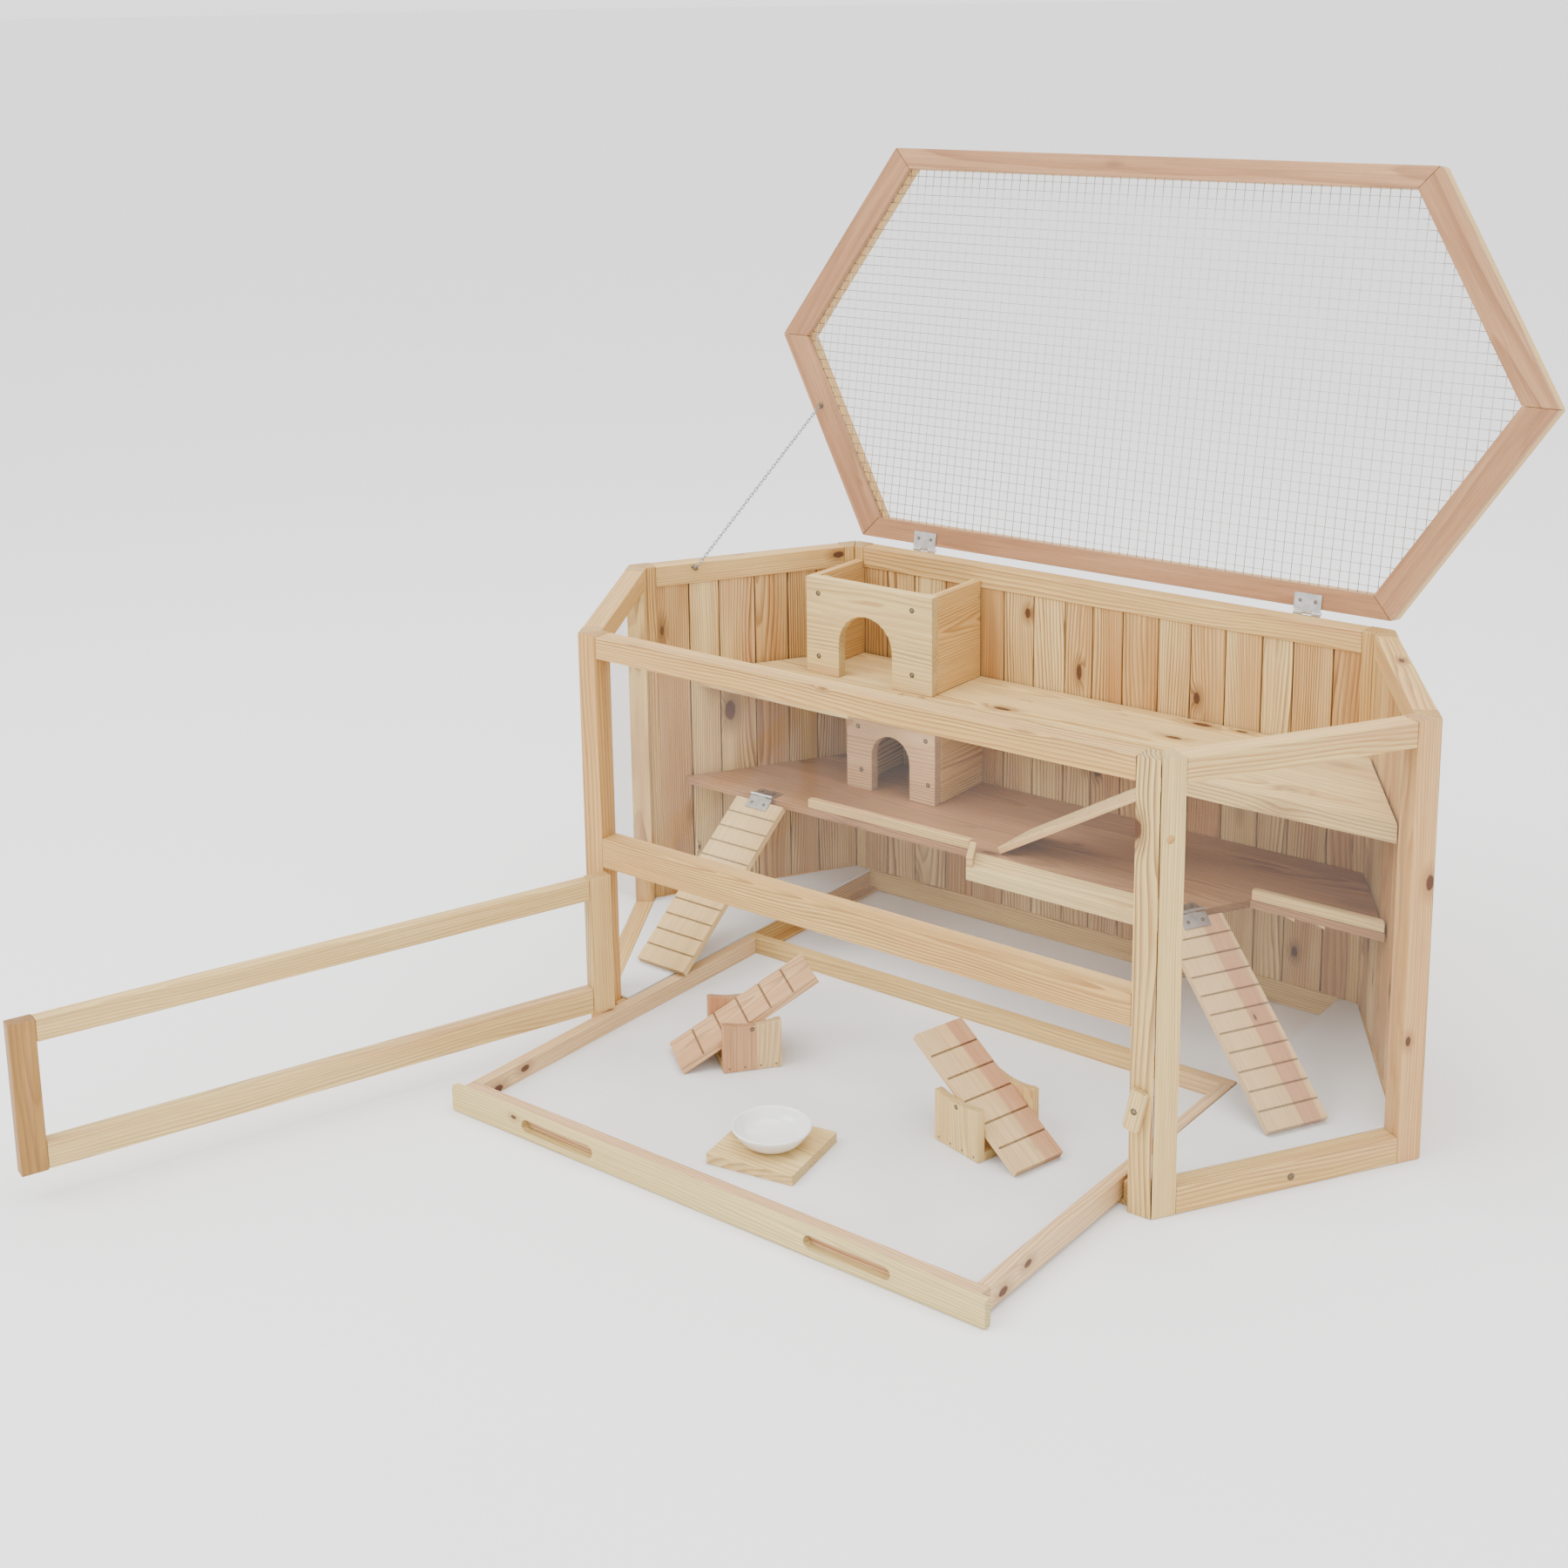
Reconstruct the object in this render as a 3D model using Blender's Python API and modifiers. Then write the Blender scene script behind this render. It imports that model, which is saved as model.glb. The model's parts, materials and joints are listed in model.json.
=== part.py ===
"""A hexagonal wooden cage for small animals, with a lid, a lower door and a pull-out tray.

Metres, +Z up. +X is to the right and -Y is the front. The origin is on the floor, under the middle
of the back wall's bottom rail. The sizes and places below are measured from the middle of the body,
and one empty, body_axes, carries the whole cage to the origin. The cage stands with its lid up, its
lower door open and its tray pulled out.
"""
import math

import bmesh
import bpy
from mathutils import Matrix, Vector

# Body
HALF_LENGTH = 0.575        # middle of the body to the left or right vertex
HALF_DEPTH = 0.290         # middle of the body to its front or back
FRONT_HALF = 0.400         # half width of the straight front and back
BODY_TOP = 0.510
FRAME_T = 0.027            # thickness of the frame timber
STILE_W = 0.029            # front stiles, seen from the front
WALL_STILE = 0.030         # stiles of the other five walls
WALL_TOP_RAIL = 0.029
WALL_BOTTOM_RAIL = 0.031
FRONT_TOP_RAIL = 0.028
MIDDLE_RAIL = (0.212, 0.250)
GROOVE_DEPTH = 0.005
PANE_T = 0.002
PLANK_T = 0.008
PLANK_LEVEL = 0.0165       # outer face of the wall to the outer face of its planks
PANE_LEVEL = 0.0128
GAP = 0.0003               # fitting gap between pieces that touch
MITRE_GAP = 0.0002

# Floors and shelves
FLOOR_TOP = 0.031
FLOOR_T = 0.003
UPPER_TOP = 0.356
UPPER_BOARD_T = 0.012
UPPER_EDGE_T = 0.022
MID_TOP = 0.204
MID_T = 0.010
MID_FRONT_T = 0.018
LIP_TOP = 0.217
SHELF_BACK = HALF_DEPTH - FRAME_T - GAP
SHELF_SIDE_GAP = 0.0006
HOUSE_FRONT = (0.145, 0.160)
HOUSE_WALL_T = 0.012

# Ramps
RAMP_W = 0.080
RAMP_T = 0.009
RAMP_LENGTH = 0.276
RAMP_START = 0.009
RAMP_GROOVES = 10
RAMP_AXIS_Z = 0.2065
LEFT_RAMP_AXIS = (-0.380, 0.041)
RIGHT_RAMP_AXIS = (0.272, 0.0305)
RIGHT_RAMP_HEADING = math.radians(-28.57)
UPPER_RAMP_TOP = (0.2254, 0.093, 0.354)

# Butt hinges
BARREL_R = 0.0022
LEAF_T = 0.0012
HINGE_W = 0.036
LEAF_LENGTH = 0.022

# Lid, hinged along the back; it stands open, tipped back from the vertical
LID_AXIS = (0.2925, 0.5125)
LID_OPEN = math.radians(99.0)
LID_BACK = 0.006           # hinge line to the lid's back edge
LID_DEPTH = 0.545
LID_HALF_LENGTH = 0.562
LID_FRONT_HALF = 0.392
LID_STRIP = 0.028
LID_SIDE_STRIP = 0.036
LID_LAYERS = {"lid_panel": (-0.0005, 0.0085), "lid_mesh": (0.0088, 0.0097), "lid_frame": (0.0100, 0.0280)}
LID_HINGE_X = 0.285
CHAIN_LOW = (-0.4990, 0.0520, 0.5045)
CHAIN_LID_END = (-0.4840, -0.1810, -0.0030)   # in the axes of the closed lid
CHAIN_R = 0.0012

# Lower door, hinged on the left stile; it stands open
DOOR_AXIS = (-0.3685, -0.2925)
DOOR_OPEN = math.radians(109.0)
DOOR_W = 0.730
DOOR_Z = (0.0335, 0.2105)
DOOR_FACES = (0.0027, 0.0207)
DOOR_STILE = 0.0295
DOOR_TOP_RAIL = 0.027
DOOR_BOTTOM_RAIL = 0.033
DOOR_HINGE_W = 0.110
BUTTON = (0.3815, -0.2947, 0.123)
BUTTON_SIZE = (0.019, 0.048, 0.008)
BUTTON_TILT = math.radians(12.0)

# Tray, pulled out to the front
TRAY_FRONT = (-0.562, -0.552)
TRAY_BOARD_HALF = 0.3685
TRAY_BOARD_Z = (0.001, 0.031)
TRAY_HALF = 0.358
TRAY_RAIL_T = 0.015
TRAY_RAIL_Z = (0.005, 0.0305)
TRAY_BACK = -0.0093
SHEET_Z = (0.0065, 0.0095)
SLOT_X = (0.147, 0.256)
SLOT_Z = (0.0095, 0.0250)

# Toys and bowl on the tray
SEESAW_PLANK = (0.194, 0.070, 0.009)
SEESAW_GROOVES = 5
STAND_LENGTH = 0.072
STAND_HEIGHT = 0.061
STAND_DIP = 0.004
STAND_WALL = 0.010
STAND_SIDE_GAP = 0.001
PIVOT_HEIGHT = 0.053
PIVOT_R = 0.002
PIVOT_HOLE_R = 0.0026
SEESAWS = {"seesaw_a": ((-0.172, -0.262), 52.0), "seesaw_b": ((0.1765, -0.261), 165.4)}
BOWL_CENTRE = (0.003, -0.430)
BOWL_BOARD = 0.108
BOWL_BOARD_T = 0.012

PINE = ((0.78, 0.60, 0.38), 0.55, 0.0)
PALE_PINE = ((0.86, 0.73, 0.52), 0.55, 0.0)
PLYWOOD = ((0.64, 0.42, 0.26), 0.60, 0.0)
CLEAR = ((0.90, 0.93, 0.93), 0.08, 0.0)
ZINC = ((0.75, 0.75, 0.74), 0.28, 1.0)
WHITE_SHEET = ((0.84, 0.84, 0.83), 0.45, 0.0)
GLAZE = ((0.93, 0.93, 0.92), 0.15, 0.0)

UPRIGHT = (math.radians(90), 0.0, 0.0)
ACROSS_X = (math.radians(90), 0.0, math.radians(90))


def new_collection(name):
    """A collection in the scene."""
    collection = bpy.data.collections.new(name)
    bpy.context.scene.collection.children.link(collection)
    return collection


def add(obj, finish, location=(0, 0, 0), rotation=(0, 0, 0), parent=None):
    """Place a piece and give it a material; a piece with no finish is a cutter."""
    obj.location = location
    obj.rotation_euler = rotation
    obj.parent = parent
    if finish is None:
        for collection in list(obj.users_collection):
            collection.objects.unlink(obj)
        cutters.objects.link(obj)
        obj.hide_render = True
        obj.display_type = "WIRE"
        return obj
    colour, roughness, metallic = finish
    material = bpy.data.materials.new(obj.name)
    material.use_nodes = True
    shader = material.node_tree.nodes["Principled BSDF"]
    shader.inputs["Base Color"].default_value = (*colour, 1.0)
    shader.inputs["Roughness"].default_value = roughness
    shader.inputs["Metallic"].default_value = metallic
    obj.data.materials.clear()
    obj.data.materials.append(material)
    return obj


def empty(name, location, rotation=(0, 0, 0), parent=None):
    """An empty that carries the axes of a wall or of a moving part."""
    obj = bpy.data.objects.new(name, None)
    obj.empty_display_size = 0.05
    obj.location = location
    obj.rotation_euler = rotation
    obj.parent = parent
    cage.objects.link(obj)
    return obj


def mesh_object(name, bm):
    """A mesh object in the cage's collection from a finished bmesh."""
    mesh = bpy.data.meshes.new(name)
    bm.to_mesh(mesh)
    bm.free()
    obj = bpy.data.objects.new(name, mesh)
    cage.objects.link(obj)
    return obj


def box(name, low, high, finish, rotation=(0, 0, 0), parent=None, bevel=0.0):
    """A cuboid between two corners, with its origin in the middle and its edges eased."""
    low = Vector(low)
    high = Vector(high)
    bm = bmesh.new()
    bmesh.ops.create_cube(bm, size=1.0)
    bmesh.ops.scale(bm, vec=high - low, verts=bm.verts)
    obj = add(mesh_object(name, bm), finish, (low + high) / 2, rotation, parent)
    if bevel:
        modifier = obj.modifiers.new("Eased edges", "BEVEL")
        modifier.width = bevel
        modifier.segments = 1
    return obj


def cylinder(name, radius, length, finish, location, rotation, parent, segments=16):
    """A cylinder along its own Z axis."""
    bm = bmesh.new()
    bmesh.ops.create_cone(
        bm, cap_ends=True, segments=segments, radius1=radius, radius2=radius, depth=length
    )
    return add(mesh_object(name, bm), finish, location, rotation, parent)


def prism(name, outline, thickness, finish, location=(0, 0, 0), rotation=(0, 0, 0), parent=None,
          holes=(), cuttable=False):
    """A flat outline in the local XY plane with its thickness centred on that plane."""
    curve = bpy.data.curves.new(name, "CURVE")
    curve.dimensions = "2D"
    curve.fill_mode = "BOTH"
    curve.extrude = thickness / 2
    for ring in (outline, *holes):
        spline = curve.splines.new("POLY")
        spline.points.add(len(ring) - 1)
        for point, (x, y) in zip(spline.points, ring):
            point.co = (x, y, 0.0, 1.0)
        spline.use_cyclic_u = True
    obj = bpy.data.objects.new(name, curve)
    cage.objects.link(obj)
    if cuttable or finish is None:
        obj = welded(obj)
    return add(obj, finish, location, rotation, parent)


def welded(obj):
    """Turn an outline piece into a closed mesh that a Boolean can use."""
    name = obj.name
    bpy.context.view_layer.update()
    depsgraph = bpy.context.evaluated_depsgraph_get()
    mesh = bpy.data.meshes.new_from_object(obj.evaluated_get(depsgraph))
    bm = bmesh.new()
    bm.from_mesh(mesh)
    bmesh.ops.remove_doubles(bm, verts=bm.verts, dist=1e-6)
    bmesh.ops.recalc_face_normals(bm, faces=bm.faces)
    bpy.data.meshes.remove(mesh)
    bpy.data.objects.remove(obj, do_unlink=True)
    return mesh_object(name, bm)


def combine(obj, other, operation="DIFFERENCE"):
    """Cut a piece with a cutter, or join the cutter's shape to it."""
    modifier = obj.modifiers.new(other.name, "BOOLEAN")
    modifier.operation = operation
    modifier.solver = "EXACT"
    modifier.object = other


def inset(outline, *distances):
    """Move each side of a counter-clockwise outline inward by its own distance."""
    lines = []
    for i, first in enumerate(outline):
        start = Vector(first)
        along = (Vector(outline[(i + 1) % len(outline)]) - start).normalized()
        lines.append((start + Vector((-along.y, along.x)) * distances[i], along))
    points = []
    for i, (point, along) in enumerate(lines):
        before, before_along = lines[i - 1]
        step = (point - before).cross(along) / before_along.cross(along)
        points.append(tuple(before + before_along * step))
    return points


def facing(run, normal):
    """The rotation that turns local X to run and local Y to normal."""
    run = Vector(run)
    normal = Vector(normal)
    return Matrix((run, normal, run.cross(normal))).transposed().to_euler()


def arch(low_left, high_right, middle, width, height, steps=12):
    """A wall outline with a round-topped doorway standing on its lower edge."""
    radius = width / 2
    springing = low_left[1] + height - radius
    outline = [low_left, (middle - radius, low_left[1])]
    for i in range(steps + 1):
        angle = math.pi * (1 - i / steps)
        outline.append((middle + radius * math.cos(angle), springing + radius * math.sin(angle)))
    outline.append((middle + radius, low_left[1]))
    outline.append((high_right[0], low_left[1]))
    outline.append(high_right)
    outline.append((low_left[0], high_right[1]))
    return outline


def rounded(width, height, radius, centre=(0.0, 0.0), steps=5):
    """A rectangle with rounded corners."""
    points = []
    for quarter in range(4):
        side = math.radians(90 * quarter)
        across = math.cos(side) - math.sin(side)
        up = math.sin(side) + math.cos(side)
        middle = Vector((across * (width / 2 - radius), up * (height / 2 - radius)))
        for i in range(steps + 1):
            angle = side + math.radians(90) * i / steps
            x = centre[0] + middle.x + radius * math.cos(angle)
            y = centre[1] + middle.y + radius * math.sin(angle)
            points.append((x, y))
    return points


def circle(radius, steps):
    """A closed circle of points about the origin."""
    turns = [2 * math.pi * i / steps for i in range(steps)]
    return [(radius * math.cos(turn), radius * math.sin(turn)) for turn in turns]


def inner_half(y):
    """Half width between the inner faces of the side walls at a depth y."""
    vertex = INNER[2][0]
    return vertex - abs(y) * (HALF_LENGTH - FRONT_HALF) / HALF_DEPTH


def grooved(start, end, top, thickness, grooves, width=0.0030, depth=0.0018):
    """Side outline of a tread board with V-grooves across its top."""
    points = [(start, top - thickness), (end, top - thickness), (end, top)]
    pitch = (end - start) / (grooves + 1)
    for i in range(grooves, 0, -1):
        middle = start + pitch * i
        points.append((middle + width / 2, top))
        points.append((middle, top - depth))
        points.append((middle - width / 2, top))
    points.append((start, top))
    return points


def planks(first, last, outer, count, groove=0.0022, depth=0.0026):
    """Plan of a row of upright planks with a V-groove at each joint on both faces."""
    inner = outer + PLANK_T
    pitch = (last - first) / count
    points = [(first, outer)]
    for i in range(1, count):
        joint = first + pitch * i
        points += [(joint - groove / 2, outer), (joint, outer + depth), (joint + groove / 2, outer)]
    points += [(last, outer), (last, inner)]
    for i in range(count - 1, 0, -1):
        joint = first + pitch * i
        points += [(joint + groove / 2, inner), (joint, inner - depth), (joint - groove / 2, inner)]
    points.append((first, inner))
    return points


def slope_to(drop, length, below):
    """Slope of a board of a given length whose lower corner hangs down by a given drop."""
    return math.asin(drop / math.hypot(length, below)) - math.atan2(below, length)


def hinge_leaf(name, width, length, location, run, normal, knuckles, parent=None):
    """One leaf of a butt hinge with its part of the barrel around the origin.

    The leaf runs along local X from the barrel and the barrel's axis is local Z. The knuckles
    are "outer" for the two end thirds or "middle" for the centre third.
    """
    meet = math.asin(-(BARREL_R - LEAF_T) / BARREL_R)
    sweep = math.radians(270) - meet
    outline = [(length, -BARREL_R), (0.0, -BARREL_R)]
    for i in range(1, 13):
        angle = -math.pi / 2 - sweep * i / 12
        outline.append((BARREL_R * math.cos(angle), BARREL_R * math.sin(angle)))
    outline.append((length, LEAF_T - BARREL_R))
    leaf = prism(name, outline, width, ZINC, location, facing(run, normal), parent, cuttable=True)
    third = width / 6
    reach = BARREL_R + 0.0008
    if knuckles == "outer":
        spans = [(-third - GAP / 2, third + GAP / 2)]
    else:
        spans = [(-width, -third + GAP / 2), (third - GAP / 2, width)]
    for i, (low, high) in enumerate(spans):
        cutter = box(f"{name}_notch_{i}", (-reach, -reach, low), (reach, reach, high), None, parent=leaf)
        combine(leaf, cutter)
    return leaf


def framed_wall(name, side, filling):
    """One mitred wall: a frame of four members round a window, filled with a pane or planks."""
    start = Vector(CORNERS[side])
    end = Vector(CORNERS[(side + 1) % 6])
    run = end - start
    length = run.length
    along = run.normalized()
    axes = empty(f"{name}_axes", (*start, 0.0), (0.0, 0.0, math.atan2(run.y, run.x)))
    near = (Vector(INNER[side]) - start).dot(along)
    far = (Vector(INNER[(side + 1) % 6]) - start).dot(along)
    plan = [
        (MITRE_GAP, 0.0),
        (length - MITRE_GAP, 0.0),
        (far - MITRE_GAP, FRAME_T),
        (near + MITRE_GAP, FRAME_T),
    ]
    frame = prism(f"{name}_frame", plan, BODY_TOP, PINE, (0, 0, BODY_TOP / 2), parent=axes, cuttable=True)
    low = (WALL_STILE, WALL_BOTTOM_RAIL)
    high = (length - WALL_STILE, BODY_TOP - WALL_TOP_RAIL)
    window = box(
        f"{name}_window", (low[0], -0.01, low[1]), (high[0], FRAME_T + 0.01, high[1]), None, parent=axes
    )
    combine(frame, window)
    thick, level = (PANE_T, PANE_LEVEL) if filling == "pane" else (PLANK_T, PLANK_LEVEL)
    groove = box(
        f"{name}_groove",
        (low[0] - GROOVE_DEPTH, level - GAP, low[1] - GROOVE_DEPTH),
        (high[0] + GROOVE_DEPTH, level + thick + GAP, high[1] + GROOVE_DEPTH),
        None,
        parent=axes,
    )
    combine(frame, groove)
    reach = GROOVE_DEPTH - 0.0005
    if filling == "pane":
        box(
            f"{name}_pane",
            (low[0] - reach, level, low[1] - reach),
            (high[0] + reach, level + thick, high[1] + reach),
            CLEAR,
            parent=axes,
        )
        return
    count = round((high[0] - low[0]) / 0.047)
    plan = planks(low[0] - reach, high[0] + reach, level, count)
    bottom = low[1] - reach
    top = high[1] + reach
    prism(f"{name}_planks", plan, top - bottom, PINE, (0, 0, (top + bottom) / 2), parent=axes)


def front_frame():
    """Front stiles and rails with the upper pane; the space under the middle rail is the doorway."""
    inner_corner = INNER[1][0]
    rail_half = FRONT_HALF - STILE_W - GAP
    back = FRAME_T - HALF_DEPTH
    members = []
    for side, name in ((-1, "front_stile_left"), (1, "front_stile_right")):
        plan = [
            (side * (FRONT_HALF - STILE_W), -HALF_DEPTH),
            (side * (FRONT_HALF - MITRE_GAP), -HALF_DEPTH),
            (side * (inner_corner - MITRE_GAP), back),
            (side * (FRONT_HALF - STILE_W), back),
        ]
        members.append(prism(name, plan, BODY_TOP, PINE, (0, 0, BODY_TOP / 2), cuttable=True))
    top_low = BODY_TOP - FRONT_TOP_RAIL
    rails = (("front_top_rail", top_low, BODY_TOP), ("front_middle_rail", *MIDDLE_RAIL))
    for name, low, high in rails:
        rail = box(name, (-rail_half, -HALF_DEPTH, low), (rail_half, back, high), PINE, bevel=0.0012)
        members.append(rail)
    level = PANE_LEVEL - HALF_DEPTH
    reach = rail_half + GROOVE_DEPTH
    low = MIDDLE_RAIL[1] - GROOVE_DEPTH
    high = top_low + GROOVE_DEPTH
    groove = box("front_groove", (-reach, level - GAP, low), (reach, level + PANE_T + GAP, high), None)
    for member in members:
        combine(member, groove)
    slack = 0.0005
    box(
        "front_pane",
        (-reach + slack, level, low + slack),
        (reach - slack, level + PANE_T, high - slack),
        CLEAR,
    )


def floors_and_guides():
    """Fixed floor panels at both ends and the L-shaped rails that the tray slides on."""
    guide_wall = 0.3605
    guide_outer = 0.370
    lip_inner = 0.348
    lip_top = TRAY_RAIL_Z[0] - GAP
    wall_top = FLOOR_TOP - FLOOR_T - GAP
    front = TRAY_FRONT[1] - TRAY_FRONT[0] - HALF_DEPTH + 0.001
    corner = INNER[1][0] - GAP
    vertex = INNER[2][0] - 2 * GAP
    for side, name in ((-1, "left"), (1, "right")):
        section = [
            (side * lip_inner, 0.0),
            (side * guide_outer, 0.0),
            (side * guide_outer, wall_top),
            (side * guide_wall, wall_top),
            (side * guide_wall, lip_top),
            (side * lip_inner, lip_top),
        ]
        middle = (SHELF_BACK + front) / 2
        prism(f"{name}_guide", section, SHELF_BACK - front, PINE, (0, middle, 0), UPRIGHT)
        plan = [
            (side * guide_wall, -SHELF_BACK),
            (side * corner, -SHELF_BACK),
            (side * vertex, 0.0),
            (side * corner, SHELF_BACK),
            (side * guide_wall, SHELF_BACK),
        ]
        prism(f"{name}_floor", plan, FLOOR_T, WHITE_SHEET, (0, 0, FLOOR_TOP - FLOOR_T / 2))


def shelves():
    """The upper and middle shelves with their edge strips."""
    side = SHELF_SIDE_GAP
    front = 0.062
    recess = 0.139
    outline = [
        (side - inner_half(front), front),
        (-0.250, front),
        (-0.215, recess),
        (0.262, recess),
        (0.232, front),
        (inner_half(front) - side, front),
        (inner_half(SHELF_BACK) - side, SHELF_BACK),
        (side - inner_half(SHELF_BACK), SHELF_BACK),
    ]
    middle = UPPER_TOP - UPPER_EDGE_T / 2
    shelf = prism("upper_shelf", outline, UPPER_EDGE_T, PINE, (0, 0, middle), cuttable=True)
    strip = 0.020
    beyond = 0.05
    hollow = [
        (-HALF_LENGTH - beyond, front + strip),
        (-0.262, front + strip),
        (-0.227, recess + strip),
        (0.275, recess + strip),
        (0.245, front + strip),
        (HALF_LENGTH + beyond, front + strip),
        (HALF_LENGTH + beyond, HALF_DEPTH),
        (-HALF_LENGTH - beyond, HALF_DEPTH),
    ]
    level = UPPER_TOP - UPPER_BOARD_T - beyond / 2
    combine(shelf, prism("upper_shelf_hollow", hollow, beyond, None, (0, 0, level)))

    front = 0.043
    step = 0.106
    outline = [
        (side - inner_half(front), front),
        (0.2766, front),
        (0.3110, step),
        (inner_half(step) - side, step),
        (inner_half(SHELF_BACK) - side, SHELF_BACK),
        (side - inner_half(SHELF_BACK), SHELF_BACK),
    ]
    prism("mid_shelf", outline, MID_T, PALE_PINE, (0, 0, MID_TOP - MID_T / 2))
    board = [(-0.0450, 0.0427), (-0.0200, -0.0050), (0.2506, -0.0050), (0.2764, 0.0427)]
    prism("mid_shelf_front_board", board, MID_FRONT_T, PALE_PINE, (0, 0, MID_TOP - MID_FRONT_T / 2))
    low = MID_TOP + GAP
    box("mid_shelf_lip_left", (-0.304, front, low), (-0.047, front + 0.010, LIP_TOP), PALE_PINE, bevel=0.001)
    lip = [
        (0.3125, step),
        (inner_half(step) - side, step),
        (inner_half(step + 0.010) - side, step + 0.010),
        (0.3125, step + 0.010),
    ]
    prism("mid_shelf_lip_right", lip, LIP_TOP - low, PALE_PINE, (0, 0, (LIP_TOP + low) / 2))
    strip = [board[0], board[1], (board[1][0] + 0.010, board[1][1]), (board[0][0] + 0.010, board[0][1])]
    prism("mid_shelf_end_lip", strip, LIP_TOP - low, PALE_PINE, (0, 0, (LIP_TOP + low) / 2))


def house(name, left, right, low, high, door_middle, door_width, door_height):
    """An open-topped house in front of the back wall: an arched front and two side walls."""
    outline = arch((left, low), (right, high), door_middle, door_width, door_height)
    thickness = HOUSE_FRONT[1] - HOUSE_FRONT[0]
    middle = sum(HOUSE_FRONT) / 2
    prism(f"{name}_front", outline, thickness, PALE_PINE, (0, middle, 0), UPRIGHT)
    start = HOUSE_FRONT[1] + GAP
    for side, x in (("left", left), ("right", right - HOUSE_WALL_T)):
        corner = (x + HOUSE_WALL_T, SHELF_BACK, high)
        box(f"{name}_{side}_wall", (x, start, low), corner, PALE_PINE, bevel=0.001)


def ramp(name, top, heading, level, hinged):
    """A grooved ramp whose origin is its top pivot and whose foot stands on the given level."""
    board_top = -BARREL_R - GAP
    slope = slope_to(top[2] - level, RAMP_LENGTH, RAMP_T - board_top)
    flat = Vector((math.cos(heading), math.sin(heading), 0.0))
    up = Vector((0.0, 0.0, 1.0))
    run = flat * math.cos(slope) - up * math.sin(slope)
    normal = flat * math.sin(slope) + up * math.cos(slope)
    outline = grooved(RAMP_START if hinged else 0.0, RAMP_LENGTH, board_top, RAMP_T, RAMP_GROOVES)
    prism(name, outline, RAMP_W, PALE_PINE, top, facing(run, normal))
    if hinged:
        hinge_leaf(f"{name}_shelf_leaf", HINGE_W, LEAF_LENGTH, top, -flat, up, "outer")
        hinge_leaf(f"{name}_leaf", HINGE_W, LEAF_LENGTH, top, run, normal, "middle")


def lid():
    """Two hexagonal rings with a wire mesh between them, on two hinges, held by a chain."""
    axes = empty("lid_axes", (0.0, *LID_AXIS), (-LID_OPEN, 0.0, 0.0))
    back = -LID_BACK
    front = back - LID_DEPTH
    middle = (back + front) / 2
    outer = [
        (-LID_FRONT_HALF, front),
        (LID_FRONT_HALF, front),
        (LID_HALF_LENGTH, middle),
        (LID_FRONT_HALF, back),
        (-LID_FRONT_HALF, back),
        (-LID_HALF_LENGTH, middle),
    ]
    widths = (LID_STRIP, LID_SIDE_STRIP, LID_SIDE_STRIP, LID_STRIP, LID_SIDE_STRIP, LID_SIDE_STRIP)
    window = inset(outer, *widths)
    for name, finish in (("lid_panel", PLYWOOD), ("lid_frame", PINE)):
        low, high = LID_LAYERS[name]
        prism(name, outer, high - low, finish, (0, 0, (low + high) / 2), parent=axes, holes=[window])
    low, high = LID_LAYERS["lid_mesh"]
    mesh_outline = inset(outer, *[0.010] * 6)
    prism("lid_mesh", mesh_outline, high - low, ZINC, (0, 0, (low + high) / 2), parent=axes)
    for side, name in ((-1, "left"), (1, "right")):
        x = side * LID_HINGE_X
        leaf = f"lid_hinge_{name}"
        hinge_leaf(f"{leaf}_fixed", HINGE_W, 0.024, (x, *LID_AXIS), (0, 0, -1), (0, 1, 0), "outer")
        hinge_leaf(f"{leaf}_moving", HINGE_W, 0.024, (x, 0, 0), (0, -1, 0), (0, 0, 1), "middle", axes)
    chain = bpy.data.curves.new("lid_chain", "CURVE")
    chain.dimensions = "3D"
    chain.bevel_depth = CHAIN_R
    chain.bevel_resolution = 2
    chain.use_fill_caps = True
    spline = chain.splines.new("POLY")
    spline.points.add(1)
    spline.points[0].co = (0.0, 0.0, 0.0, 1.0)
    lid_end = Matrix.Rotation(-LID_OPEN, 3, "X") @ Vector(CHAIN_LID_END) + Vector((0.0, *LID_AXIS))
    spline.points[1].co = (*(lid_end - Vector(CHAIN_LOW)), 1.0)
    obj = bpy.data.objects.new("lid_chain", chain)
    cage.objects.link(obj)
    add(obj, ZINC, CHAIN_LOW)


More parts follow.
